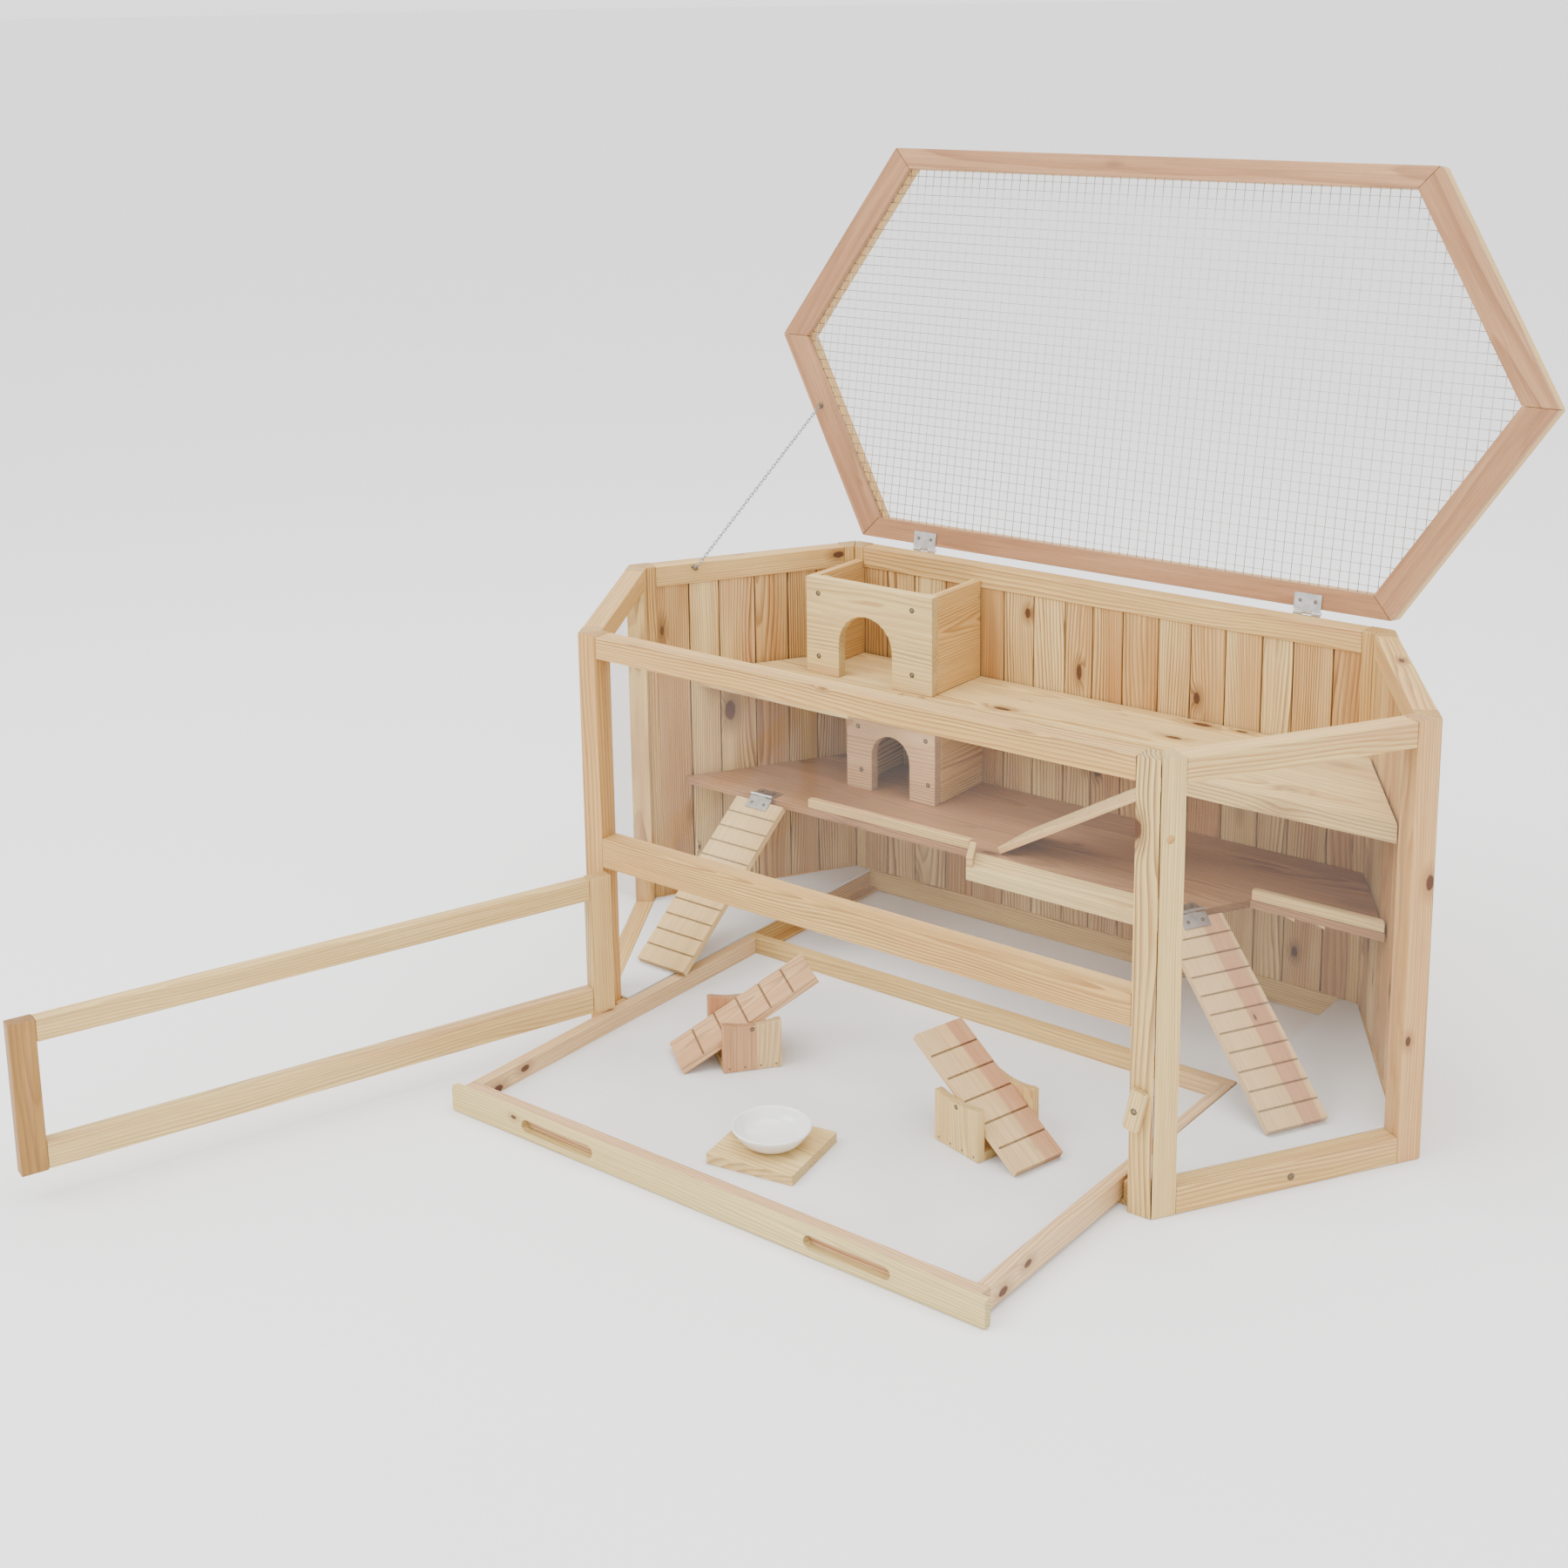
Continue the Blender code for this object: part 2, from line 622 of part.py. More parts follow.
def door():
    """The lower door with its clear pane, its hinge and the turn button that holds it shut."""
    axes = empty("door_axes", (*DOOR_AXIS, 0.0), (0.0, 0.0, -DOOR_OPEN))
    low, high = DOOR_Z
    outer = [(0.0, low), (DOOR_W, low), (DOOR_W, high), (0.0, high)]
    window = inset(outer, DOOR_BOTTOM_RAIL, DOOR_STILE, DOOR_TOP_RAIL, DOOR_STILE)
    thickness = DOOR_FACES[1] - DOOR_FACES[0]
    middle = sum(DOOR_FACES) / 2
    frame = prism(
        "door_frame", outer, thickness, PINE, (0, middle, 0), UPRIGHT, axes, holes=[window], cuttable=True
    )
    (left, bottom), (right, top) = window[0], window[2]
    reach = GROOVE_DEPTH
    level = PANE_T / 2 + GAP
    groove = box(
        "door_groove",
        (left - reach, middle - level, bottom - reach),
        (right + reach, middle + level, top + reach),
        None,
        parent=axes,
    )
    combine(frame, groove)
    reach -= 0.0005
    box(
        "door_pane",
        (left - reach, middle - PANE_T / 2, bottom - reach),
        (right + reach, middle + PANE_T / 2, top + reach),
        CLEAR,
        parent=axes,
    )
    height = sum(DOOR_Z) / 2
    place = (*DOOR_AXIS, height)
    hinge_leaf("door_hinge_fixed", DOOR_HINGE_W, 0.024, place, (-1, 0, 0), (0, -1, 0), "outer")
    place = (0, 0, height)
    hinge_leaf("door_hinge_moving", DOOR_HINGE_W, 0.024, place, (1, 0, 0), (0, -1, 0), "middle", axes)
    width, length, thickness = BUTTON_SIZE
    turn = (math.radians(90), BUTTON_TILT, 0.0)
    prism("turn_button", rounded(width, length, 0.004), thickness, PALE_PINE, BUTTON, turn)


def tray():
    """The tray: a front board with two finger slots, four rails behind it, and a sheet."""
    low, high = TRAY_BOARD_Z
    half = TRAY_BOARD_HALF
    front, behind = TRAY_FRONT
    outline = [(-half, low), (half, low), (half, high), (-half, high)]
    length = SLOT_X[1] - SLOT_X[0]
    height = SLOT_Z[1] - SLOT_Z[0]
    slots = []
    for side in (-1, 1):
        centre = (side * sum(SLOT_X) / 2, sum(SLOT_Z) / 2)
        slots.append(rounded(length, height, height / 2 - 0.0001, centre, 6))
    place = (0, (front + behind) / 2, 0)
    prism("tray_front_board", outline, behind - front, PALE_PINE, place, UPRIGHT, holes=slots)
    start = behind + GAP
    rails = [(-TRAY_HALF, start), (TRAY_HALF, start), (TRAY_HALF, TRAY_BACK), (-TRAY_HALF, TRAY_BACK)]
    room = inset(rails, *[TRAY_RAIL_T] * 4)
    low, high = TRAY_RAIL_Z
    prism("tray_rails", rails, high - low, PALE_PINE, (0, 0, (low + high) / 2), holes=[room])
    sheet = inset(room, *[GAP] * 4)
    box("tray_floor", (*sheet[0], SHEET_Z[0]), (*sheet[2], SHEET_Z[1]), WHITE_SHEET)


def seesaw(name, centre, yaw):
    """A plank that rocks on a pin between two cheeks; its low end rests on the tray's sheet."""
    length, width, thickness = SEESAW_PLANK
    base = SHEET_Z[1] + GAP
    axes = empty(f"{name}_axes", (*centre, base), (0.0, 0.0, math.radians(yaw)))
    half = STAND_LENGTH / 2
    edge = 0.006
    cheek = [(-half, 0.0), (half, 0.0), (half, STAND_HEIGHT)]
    for i in range(9):
        x = (half - edge) * (1 - i / 4)
        dip = STAND_DIP * (1 - (x / (half - edge)) ** 2)
        cheek.append((x, STAND_HEIGHT - dip))
    cheek.append((-half, STAND_HEIGHT))
    inner = width / 2 + STAND_SIDE_GAP
    outer = inner + STAND_WALL
    stand = prism(f"{name}_stand", cheek, 2 * outer, PALE_PINE, (0, 0, 0), UPRIGHT, axes, cuttable=True)
    low = (-half - 0.01, -inner, STAND_WALL)
    high = (half + 0.01, inner, STAND_HEIGHT + 0.01)
    combine(stand, box(f"{name}_channel", low, high, None, parent=axes))
    pivot = (0, 0, PIVOT_HEIGHT)
    pin = cylinder(f"{name}_pin", PIVOT_R, 2 * inner + 0.004, None, pivot, UPRIGHT, axes)
    combine(stand, pin, "UNION")
    tilt = slope_to(PIVOT_HEIGHT - GAP, length / 2, thickness / 2)
    outline = grooved(-length / 2, length / 2, thickness / 2, thickness, SEESAW_GROOVES)
    run = (math.cos(tilt), 0.0, math.sin(tilt))
    normal = (-math.sin(tilt), 0.0, math.cos(tilt))
    hole = circle(PIVOT_HOLE_R, 16)
    prism(f"{name}_plank", outline, width, PALE_PINE, pivot, facing(run, normal), axes, holes=[hole])


def food_bowl():
    """A small round bowl turned from its outline, on a square board."""
    base = SHEET_Z[1] + GAP
    turn = (0.0, 0.0, math.radians(10.0))
    outline = rounded(BOWL_BOARD, BOWL_BOARD, 0.0015, steps=3)
    place = (*BOWL_CENTRE, base + BOWL_BOARD_T / 2)
    prism("bowl_board", outline, BOWL_BOARD_T, PALE_PINE, place, turn)
    profile = [
        (0.0000, 0.0060),
        (0.0240, 0.0064),
        (0.0340, 0.0105),
        (0.0405, 0.0195),
        (0.0418, 0.0216),
        (0.0436, 0.0222),
        (0.0450, 0.0210),
        (0.0440, 0.0190),
        (0.0370, 0.0080),
        (0.0290, 0.0012),
        (0.0250, 0.0000),
        (0.0000, 0.0000),
    ]
    bm = bmesh.new()
    verts = [bm.verts.new((x, 0.0, z)) for x, z in profile]
    for first, second in zip(verts, verts[1:]):
        bm.edges.new((first, second))
    obj = mesh_object("food_bowl", bm)
    add(obj, GLAZE, (*BOWL_CENTRE, base + BOWL_BOARD_T + GAP))
    screw = obj.modifiers.new("Turned", "SCREW")
    screw.axis = "Z"
    screw.steps = 40
    screw.render_steps = 40
    screw.use_merge_vertices = True
    screw.merge_threshold = 0.00002
    screw.use_normal_calculate = True
    screw.use_smooth_shade = True


for old in list(bpy.data.objects):
    bpy.data.objects.remove(old, do_unlink=True)
cage = new_collection("hamster_cage")
cutters = new_collection("cutters")
cutters.hide_render = True

# Outer corners in plan, counter-clockwise from the front left, and the same at the inner faces
CORNERS = [
    (-FRONT_HALF, -HALF_DEPTH),
    (FRONT_HALF, -HALF_DEPTH),
    (HALF_LENGTH, 0.0),
    (FRONT_HALF, HALF_DEPTH),
    (-FRONT_HALF, HALF_DEPTH),
    (-HALF_LENGTH, 0.0),
]
INNER = inset(CORNERS, *[FRAME_T] * 6)

front_frame()
framed_wall("right_front", 1, "pane")
framed_wall("right_rear", 2, "planks")
framed_wall("back", 3, "planks")
framed_wall("left_rear", 4, "planks")
framed_wall("left_front", 5, "pane")
floors_and_guides()
shelves()
house("upper_house", -0.381, -0.173, UPPER_TOP + GAP, 0.492, -0.282, 0.088, 0.092)
house("lower_house", -0.3135, -0.168, MID_TOP + GAP, 0.316, -0.2407, 0.062, 0.083)
ramp("left_ramp", (*LEFT_RAMP_AXIS, RAMP_AXIS_Z), math.radians(-90), FLOOR_TOP + GAP, True)
ramp("right_ramp", (*RIGHT_RAMP_AXIS, RAMP_AXIS_Z), RIGHT_RAMP_HEADING, FLOOR_TOP + GAP, True)
ramp("upper_ramp", UPPER_RAMP_TOP, math.radians(180), MID_TOP + GAP, False)
lid()
door()
tray()
for toy, (toy_centre, toy_yaw) in SEESAWS.items():
    seesaw(toy, toy_centre, toy_yaw)
food_bowl()

body_axes = empty("body_axes", (0.0, FRAME_T / 2 - HALF_DEPTH, 0.0))
for piece in [*cage.objects, *cutters.objects]:
    if piece.parent is None and piece is not body_axes:
        piece.parent = body_axes
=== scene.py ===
"""Looks of the hexagonal wooden small-animal cage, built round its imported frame."""
import json
import math
import random

import bmesh
import bpy
from mathutils import Matrix, Vector


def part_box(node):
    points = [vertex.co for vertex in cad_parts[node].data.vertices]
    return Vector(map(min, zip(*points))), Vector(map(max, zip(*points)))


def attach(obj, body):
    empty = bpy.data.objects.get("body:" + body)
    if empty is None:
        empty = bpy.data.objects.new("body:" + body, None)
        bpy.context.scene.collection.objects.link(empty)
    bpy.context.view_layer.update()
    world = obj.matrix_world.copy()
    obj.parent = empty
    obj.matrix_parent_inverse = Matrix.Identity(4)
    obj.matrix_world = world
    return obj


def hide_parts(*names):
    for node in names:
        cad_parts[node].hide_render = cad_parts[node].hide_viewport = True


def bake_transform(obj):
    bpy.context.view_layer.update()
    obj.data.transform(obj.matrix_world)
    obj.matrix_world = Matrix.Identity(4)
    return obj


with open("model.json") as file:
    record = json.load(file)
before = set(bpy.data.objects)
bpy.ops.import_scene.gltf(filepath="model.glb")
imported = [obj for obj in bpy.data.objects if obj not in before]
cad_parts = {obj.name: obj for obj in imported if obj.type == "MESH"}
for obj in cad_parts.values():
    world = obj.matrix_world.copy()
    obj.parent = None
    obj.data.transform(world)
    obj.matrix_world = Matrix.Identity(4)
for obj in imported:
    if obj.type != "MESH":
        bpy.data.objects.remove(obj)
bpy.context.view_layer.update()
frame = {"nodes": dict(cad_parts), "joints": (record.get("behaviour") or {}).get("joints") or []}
rng = random.Random(11)
joints = {joint["name"]: joint for joint in frame["joints"]}

# The body's plan, read from the frame. MIDDLE is half way between its front and its back.
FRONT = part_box("front_stile_left")[0].y
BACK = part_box("back_frame")[1].y
MIDDLE = (FRONT + BACK) / 2
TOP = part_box("front_top_rail")[1].z
FRONT_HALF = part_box("front_stile_right")[1].x
HALF_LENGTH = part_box("right_front_frame")[1].x
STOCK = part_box("front_stile_left")[1].y - FRONT
CORNERS = [
    (-FRONT_HALF, FRONT),
    (FRONT_HALF, FRONT),
    (HALF_LENGTH, MIDDLE),
    (FRONT_HALF, BACK),
    (-FRONT_HALF, BACK),
    (-HALF_LENGTH, MIDDLE),
]
WALLS = {"right_front": 1, "right_rear": 2, "back": 3, "left_rear": 4, "left_front": 5}
WALL_STILE = 0.030         # widths of the members of a wall's frame
WALL_TOP_RAIL = 0.029
WALL_BOTTOM_RAIL = 0.031
LID_STRIPS = (0.028, 0.036, 0.036, 0.028, 0.036, 0.036)     # widths, from the front round
PLANK_WIDTH = 0.047        # of a usual plank
PLANK_GAP = 0.0008         # from a plank's edge to the middle of the gap beside it
HIDDEN = 0.004             # how far planks run on behind the frame's stiles
EASE = 0.0011              # rounding of planed edges
JOINT = 0.00025            # hairline at a glued joint
SEAM = 0.0007              # open seam between two frames
PROUD = 0.0001             # how far a screw's seat stands over its face
SCREW_RADIUS = 0.0031
LEAF_THICKNESS = 0.0012    # of a hinge leaf
LEAF_FACE = 0.0032         # how far the barrel stands out past a leaf's face
LEAF_SCREW = 0.0135        # from a ramp hinge's axis to its screws
HINGE_SCREW = 0.010        # half the distance between a leaf's two screws
HOUSE_BLOCK = 0.011        # thickness of the blocks in the upper hideout
CLEAT = (0.015, 0.008, 0.0045)     # length, width and height of a wedge under the middle shelf
MESH_PITCH = 0.0127
MESH_WIRE = 0.0009
CHAIN_PITCH = 0.0058
CHAIN_WIRE = 0.0012
LINK_HALF_WIDTH = 0.0019
WORLD = Matrix.Identity(4)
UP = Vector((0.0, 0.0, 1.0))

# Lens, place and aim of the camera, with the middle of the body at (0, MIDDLE, 0)
CAMERA_PLACE = (1.4095, -2.188, 1.2596)
CAMERA_YAW = math.radians(38.51)
CAMERA_PITCH = math.radians(12.71)
CAMERA_ROLL = math.radians(-0.95)
CAMERA_LENS = 51.0
CAMERA_SHIFT = (0.011, -0.18)


# Node trees

class Finish:
    """A material's node tree, with short calls for the nodes that the finishes share."""

    def __init__(self, name):
        self.material = bpy.data.materials.new(name)
        self.material.use_nodes = True
        self.tree = self.material.node_tree
        self.shader = self.tree.nodes["Principled BSDF"]

    def feed(self, socket, value):
        """Link a socket to another, or set its value."""
        if isinstance(value, bpy.types.NodeSocket):
            self.tree.links.new(value, socket)
        else:
            socket.default_value = value

    def give(self, **inputs):
        """Values or links for the shader's inputs, whose names are written with _ for a space."""
        for name, value in inputs.items():
            self.feed(self.shader.inputs[name.replace("_", " ")], value)

    def node(self, kind, inputs=(), **settings):
        """A node with its settings, and its inputs in order."""
        node = self.tree.nodes.new(kind)
        for key, value in settings.items():
            setattr(node, key, value)
        for socket, value in zip(node.inputs, inputs):
            if value is not None:
                self.feed(socket, value)
        return node

    def math(self, operation, *values):
        return self.node("ShaderNodeMath", values, operation=operation).outputs[0]

    def plus(self, first, second):
        return self.math("ADD", first, second)

    def times(self, first, second):
        return self.math("MULTIPLY", first, second)

    def vector_math(self, operation, *vectors):
        return self.node("ShaderNodeVectorMath", vectors, operation=operation).outputs

    def scaled(self, vector, factors):
        return self.vector_math("MULTIPLY", vector, factors)[0]

    def shifted(self, vector, offset):
        return self.vector_math("SUBTRACT", vector, offset)[0]

    def length(self, vector):
        return self.vector_math("LENGTH", vector)["Value"]

    def local(self):
        """Each point's place in its object."""
        return self.node("ShaderNodeTexCoord").outputs["Object"]

    def point(self, name):
        return self.node("ShaderNodeAttribute", attribute_name=name).outputs["Vector"]

    def number(self, name):
        return self.node("ShaderNodeAttribute", attribute_name=name).outputs["Fac"]

    def noise(self, vector, fineness, detail=2.0, roughness=0.5):
        """Noise of one fineness all round, or of one for each axis."""
        if isinstance(fineness, float):
            fineness = (fineness, fineness, fineness)
        node = self.node("ShaderNodeTexNoise")
        self.feed(node.inputs["Vector"], self.scaled(vector, fineness))
        node.inputs["Scale"].default_value = 1.0
        node.inputs["Detail"].default_value = detail
        node.inputs["Roughness"].default_value = roughness
        return node.outputs[0]

    def ranged(self, value, from_low, from_high, to_low, to_high):
        """A value moved from one range to another, and kept inside it."""
        node = self.node("ShaderNodeMapRange", (value, from_low, from_high, to_low, to_high))
        return node.outputs[0]

    def curve(self, value, *stops):
        """A grey level that follows the stops (place, level)."""
        node = self.node("ShaderNodeValToRGB", (value,))
        ramp = node.color_ramp
        while len(ramp.elements) < len(stops):
            ramp.elements.new(0.5)
        for element, (place, level) in zip(ramp.elements, stops):
            element.position = place
            element.color = (level, level, level, 1.0)
        return node.outputs[0]

    def mix(self, share, first, second, blend="MIX"):
        node = self.node("ShaderNodeMix", data_type="RGBA", blend_type=blend)
        self.feed(node.inputs[0], share)
        for socket, colour in ((node.inputs[6], first), (node.inputs[7], second)):
            self.feed(socket, colour if isinstance(colour, bpy.types.NodeSocket) else (*colour, 1.0))
        return node.outputs[2]

    def bump(self, height, strength, distance):
        node = self.node("ShaderNodeBump")
        node.inputs["Strength"].default_value = strength
        node.inputs["Distance"].default_value = distance
        self.feed(node.inputs["Height"], height)
        self.feed(self.shader.inputs["Normal"], node.outputs[0])


# How close the random knots of a plain, common and knotty board stand, and their smallest and largest
KNOT_SPREADS = (
    ((4.0, 10.0, 10.0), 0.004, 0.012),
    ((6.0, 14.0, 14.0), 0.012, 0.060),
    ((8.0, 22.0, 22.0), 0.030, 0.130),
)
RANDOM_KNOT = 0.0045       # how strongly rings bend round a random knot, as its size
KNOT_STRETCH = 0.55        # width over length of a knot along the grain
PINK_TONE = (0.56, 0.265, 0.130)
HEART_TONE = (0.43, 0.165, 0.085)
KNOT_TONES = ((0.040, 0.015, 0.007), (0.15, 0.058, 0.022))


def knot_fields(f, grain, place, knots, knotty):
    """How far each point lies from a random knot and from each placed one, in radii, with its size."""
    pitch, smallest, largest = KNOT_SPREADS[knotty]
    cells = f.node("ShaderNodeTexVoronoi", (f.scaled(grain, pitch),))
    cells.inputs["Scale"].default_value = 1.0
    chance = f.node("ShaderNodeSeparateColor", (cells.outputs["Color"],)).outputs[0]
    spread = f.ranged(chance, 0.0, 1.0, smallest, largest)
    ragged = f.ranged(f.noise(place, 260.0), 0.0, 1.0, -0.14, 0.14)
    fields = [(f.plus(f.math("DIVIDE", cells.outputs["Distance"], spread), ragged), RANDOM_KNOT)]
    for along, across, depth, size in knots:
        away = f.shifted(place, (along, across, depth))
        away = f.scaled(away, (KNOT_STRETCH / size, 1.0 / size, 1.0 / size))
        fields.append((f.plus(f.length(away), ragged), size))
    return fields


def growth_rings(f, grain, wander, fields, ring):
    """How dark the late wood is at each point; rings bend round the knots."""
    ripple = f.noise(grain, (9.0, 130.0, 130.0), detail=2.0)
    radius = f.length(f.scaled(grain, (0.0, 1.0, 1.0)))
    radius = f.plus(radius, f.ranged(wander, 0.0, 1.0, -0.016, 0.016))
    radius = f.plus(radius, f.ranged(ripple, 0.0, 1.0, -0.0010, 0.0010))
    for away, size in fields:
        push = f.math("POWER", math.e, f.times(f.times(away, away), -0.32))
        radius = f.plus(radius, f.times(push, size * 1.5))
    phase = f.math("FRACT", f.math("DIVIDE", radius, ring))
    rings = f.curve(phase, (0.0, 0.0), (0.35, 0.08), (0.78, 0.85), (0.92, 1.0), (1.0, 0.05))
    return f.times(rings, f.ranged(f.noise(grain, (0.9, 34.0, 34.0)), 0.25, 0.75, 0.25, 1.3))


def heart_band(f, place, wander, patches, low, high):
    """Where a wandering band of pink heartwood crosses the piece."""
    across = f.node("ShaderNodeSeparateXYZ", (place,)).outputs[1]
    across = f.plus(across, f.ranged(wander, 0.0, 1.0, -0.012, 0.012))
    rise = f.ranged(across, low, low + 0.002, 0.0, 1.0)
    fall = f.ranged(across, high, high + 0.003, 0.8, 0.0)
    return f.times(f.times(rise, fall), f.ranged(patches, 0.3, 0.65, 0.5, 1.0))


def with_knots(f, colour, fields, late):
    """The wood's colour with a stained ring and a dark, ringed core at each knot."""
    for away, _ in fields:
        colour = f.mix(f.ranged(away, 0.8, 3.0, 0.7, 0.0), colour, tuple(0.62 * channel for channel in late))
        core = f.mix(f.math("FRACT", f.times(away, 3.5)), *KNOT_TONES)
        colour = f.mix(f.ranged(away, 0.85, 1.05, 1.0, 0.0), colour, core)
    return colour


def wood(name, pale, late, warm, ring=0.0034, contrast=0.75, knots=(), heart=None, ridges=0.0, knotty=1):
    """Planed softwood, drawn from where each point lay in the tree: growth rings, fibres and knots.

    pale is the early wood, late the dark part of a ring and warm the tone that patches drift to.
    A knot is (along, across, depth, size) in metres in the piece's own axes, and heart is the
    lowest and highest place across the piece of a band of pink heartwood.
    """
    f = Finish(name)
    grain = f.point("grain")
    place = f.point("place")
    wander = f.noise(grain, (2.0, 11.0, 11.0), detail=2.0)
    patches = f.noise(grain, (3.2, 26.0, 26.0), detail=3.0)
    fields = knot_fields(f, grain, place, knots, knotty)
    rings = growth_rings(f, grain, wander, fields, ring)
    fibres = f.noise(grain, (42.0, 1500.0, 1500.0), detail=3.0, roughness=0.6)
    strands = f.noise(grain, (5.0, 330.0, 330.0), detail=3.0, roughness=0.6)
    height = f.plus(f.times(fibres, 0.55), f.times(rings, 0.30))
    if ridges:
        across = f.node("ShaderNodeSeparateXYZ", (place,)).outputs[1]
        wave = f.math("SINE", f.times(across, 2 * math.pi / ridges))
        # The ridges' troughs are painted a little darker and their crests lighter: painted shade of the
        # ridges.
        strands = f.plus(strands, f.times(wave, 0.12))
        height = f.plus(height, f.times(wave, 0.9))

    drift = f.plus(f.times(f.number("tone"), 0.8), f.ranged(patches, 0.3, 0.75, -0.1, 0.7))
    pink = f.ranged(f.noise(grain, (1.6, 21.0, 21.0), detail=3.0), 0.60, 0.72, 0.0, 0.55)
    colour = f.mix(pink, f.mix(drift, pale, warm), PINK_TONE)
    if heart:
        colour = f.mix(heart_band(f, place, wander, patches, *heart), colour, HEART_TONE)
    colour = f.mix(f.times(rings, contrast), colour, late)
    streaks = f.plus(f.ranged(fibres, 0.3, 0.7, -0.09, 0.07), f.ranged(strands, 0.3, 0.7, -0.15, 0.11))
    # end darkens end grain, its own colour, and paints shade on the floors of grooves.
    level = f.math("SUBTRACT", f.plus(streaks, 1.0), f.times(f.number("end"), 0.26))
    shade = f.node("ShaderNodeCombineColor", (level, level, level)).outputs[0]
    colour = with_knots(f, f.mix(1.0, colour, shade, "MULTIPLY"), fields, late)
    roughness = f.plus(f.ranged(fibres, 0.2, 0.8, 0.45, 0.63), f.times(rings, -0.07))
    f.give(Base_Color=colour, Roughness=roughness, Specular_IOR_Level=0.3)
    f.bump(height, 0.5, 0.0005)
    return f.material


def clear_sheet(name):
    """Clear acrylic: colourless, faintly wavy, a little scuffed and a little milky."""
    f = Finish(name)
    place = f.local()
    scuffs = f.noise(place, 30.0, detail=5.0)
    f.give(Base_Color=(0.985, 0.995, 0.992, 1.0), Transmission_Weight=0.988, IOR=1.16)
    f.give(Roughness=f.ranged(scuffs, 0.35, 0.8, 0.0, 0.035))
    f.bump(f.noise(place, 5.0, detail=1.0), 0.08, 0.002)
    return f.material


def zinc(name, level, dull, tint=(1.0, 0.995, 0.98)):
    """Zinc plating with fine brushing and a few duller patches."""
    f = Finish(name)
    place = f.local()
    patches = f.noise(place, 90.0, detail=4.0)
    brushing = f.noise(place, (260.0, 2600.0, 2600.0), detail=2.0)
    light = tuple(level * channel for channel in tint)
    dark = tuple(0.72 * channel for channel in light)
    f.give(Base_Color=f.mix(f.ranged(patches, 0.35, 0.7, 0.0, 1.0), light, dark), Metallic=1.0)
    f.give(Roughness=f.ranged(brushing, 0.25, 0.75, dull - 0.08, dull + 0.12))
    f.bump(brushing, 0.15, 0.0001)
    return f.material


def painted_hole_shade(name):
    """Painted shade in a bored hole: a dark, patchy rim round a screw head, also used in its cross recess."""
    f = Finish(name)
    rim_patches = f.noise(f.local(), 1300.0, detail=3.0)
    share = f.ranged(rim_patches, 0.3, 0.7, 0.0, 1.0)
    f.give(Base_Color=f.mix(share, (0.060, 0.026, 0.010), (0.160, 0.080, 0.035)))
    f.give(Roughness=f.ranged(rim_patches, 0.2, 0.8, 0.62, 0.82))
    f.bump(rim_patches, 0.4, 0.0002)
    return f.material


def white_sheet(name):
    """Satin white plastic sheet with a fine pebble and faint rub marks."""
    f = Finish(name)
    place = f.local()
    clouds = f.noise(place, 7.0, detail=4.0)
    pebble = f.noise(place, 1400.0, detail=2.0)
    rubs = f.noise(place, (160.0, 12.0, 12.0), detail=4.0)
    colour = f.mix(f.ranged(clouds, 0.3, 0.7, 0.0, 1.0), (0.80, 0.80, 0.795), (0.73, 0.735, 0.735))
    colour = f.mix(f.ranged(rubs, 0.62, 0.75, 0.0, 0.22), colour, (0.62, 0.62, 0.61))
    f.give(Base_Color=colour, Roughness=f.ranged(rubs, 0.3, 0.7, 0.38, 0.52))
    f.bump(pebble, 0.25, 0.00012)
    return f.material


def glaze(name):
    """White glazed ceramic, warmer in clouds and with dark specks, with a slight orange-peel surface."""
    f = Finish(name)
    place = f.local()
    clouds = f.noise(place, 45.0, detail=3.0)
    specks = f.noise(place, 900.0, detail=1.0)
    colour = f.mix(f.ranged(clouds, 0.3, 0.7, 0.0, 1.0), (0.86, 0.86, 0.845), (0.80, 0.795, 0.77))
    colour = f.mix(f.ranged(specks, 0.78, 0.82, 0.0, 0.35), colour, (0.45, 0.42, 0.38))
    f.give(Base_Color=colour, Roughness=f.ranged(clouds, 0.3, 0.7, 0.10, 0.18), Coat_Weight=0.4)
    f.bump(f.noise(place, 220.0, detail=1.0), 0.12, 0.0004)
    return f.material


# Pieces

def add_object(name, data):
    """A new object, linked into the scene."""
    added = bpy.data.objects.new(name, data)
    bpy.context.scene.collection.objects.link(added)
    return added


def add_mesh(name, bm, *materials):
    """A new object from a bmesh, which is freed."""
    mesh = bpy.data.meshes.new(name)
    bm.normal_update()
    bm.to_mesh(mesh)
    bm.free()
    for material in materials:
        mesh.materials.append(material)
    return add_object(name, mesh)


def axes(origin, x_axis, z_axis=UP):
    """Axes with X along x_axis and Z as near as can be to z_axis."""
    x = Vector(x_axis).normalized()
    y = Vector(z_axis).cross(x).normalized()
    matrix = Matrix((x, y, x.cross(y))).transposed().to_4x4()
    matrix.translation = Vector(origin)
    return matrix


def spans(points):
    """Lowest and highest corners of a set of points."""
    return Vector(map(min, zip(*points))), Vector(map(max, zip(*points)))


def extent(node, matrix):
    """Lowest and highest corners of a CAD node in the given axes."""
    inverse = matrix.inverted()
    return spans([inverse @ vertex.co for vertex in frame["nodes"][node].data.vertices])


def sloped_axes(node):
    """Axes of a tilted board: X down its slope, Z out of its top. The origin is the row's."""
    faces = frame["nodes"][node].data.polygons
    normal = max(faces, key=lambda face: face.area).normal.copy()
    if normal.z < 0:
        normal.negate()
    run = Vector((normal.x, normal.y, 0.0)).normalized() * normal.z
    run.z = -math.hypot(normal.x, normal.y)
    return axes((0.0, 0.0, 0.0), run, normal)


def store(mesh, name, kind, domain, values):
    """Add one attribute to a mesh and fill it."""
    attribute = mesh.attributes.new(name, kind, domain)
    attribute.data.foreach_set("vector" if kind == "FLOAT_VECTOR" else "value", values)


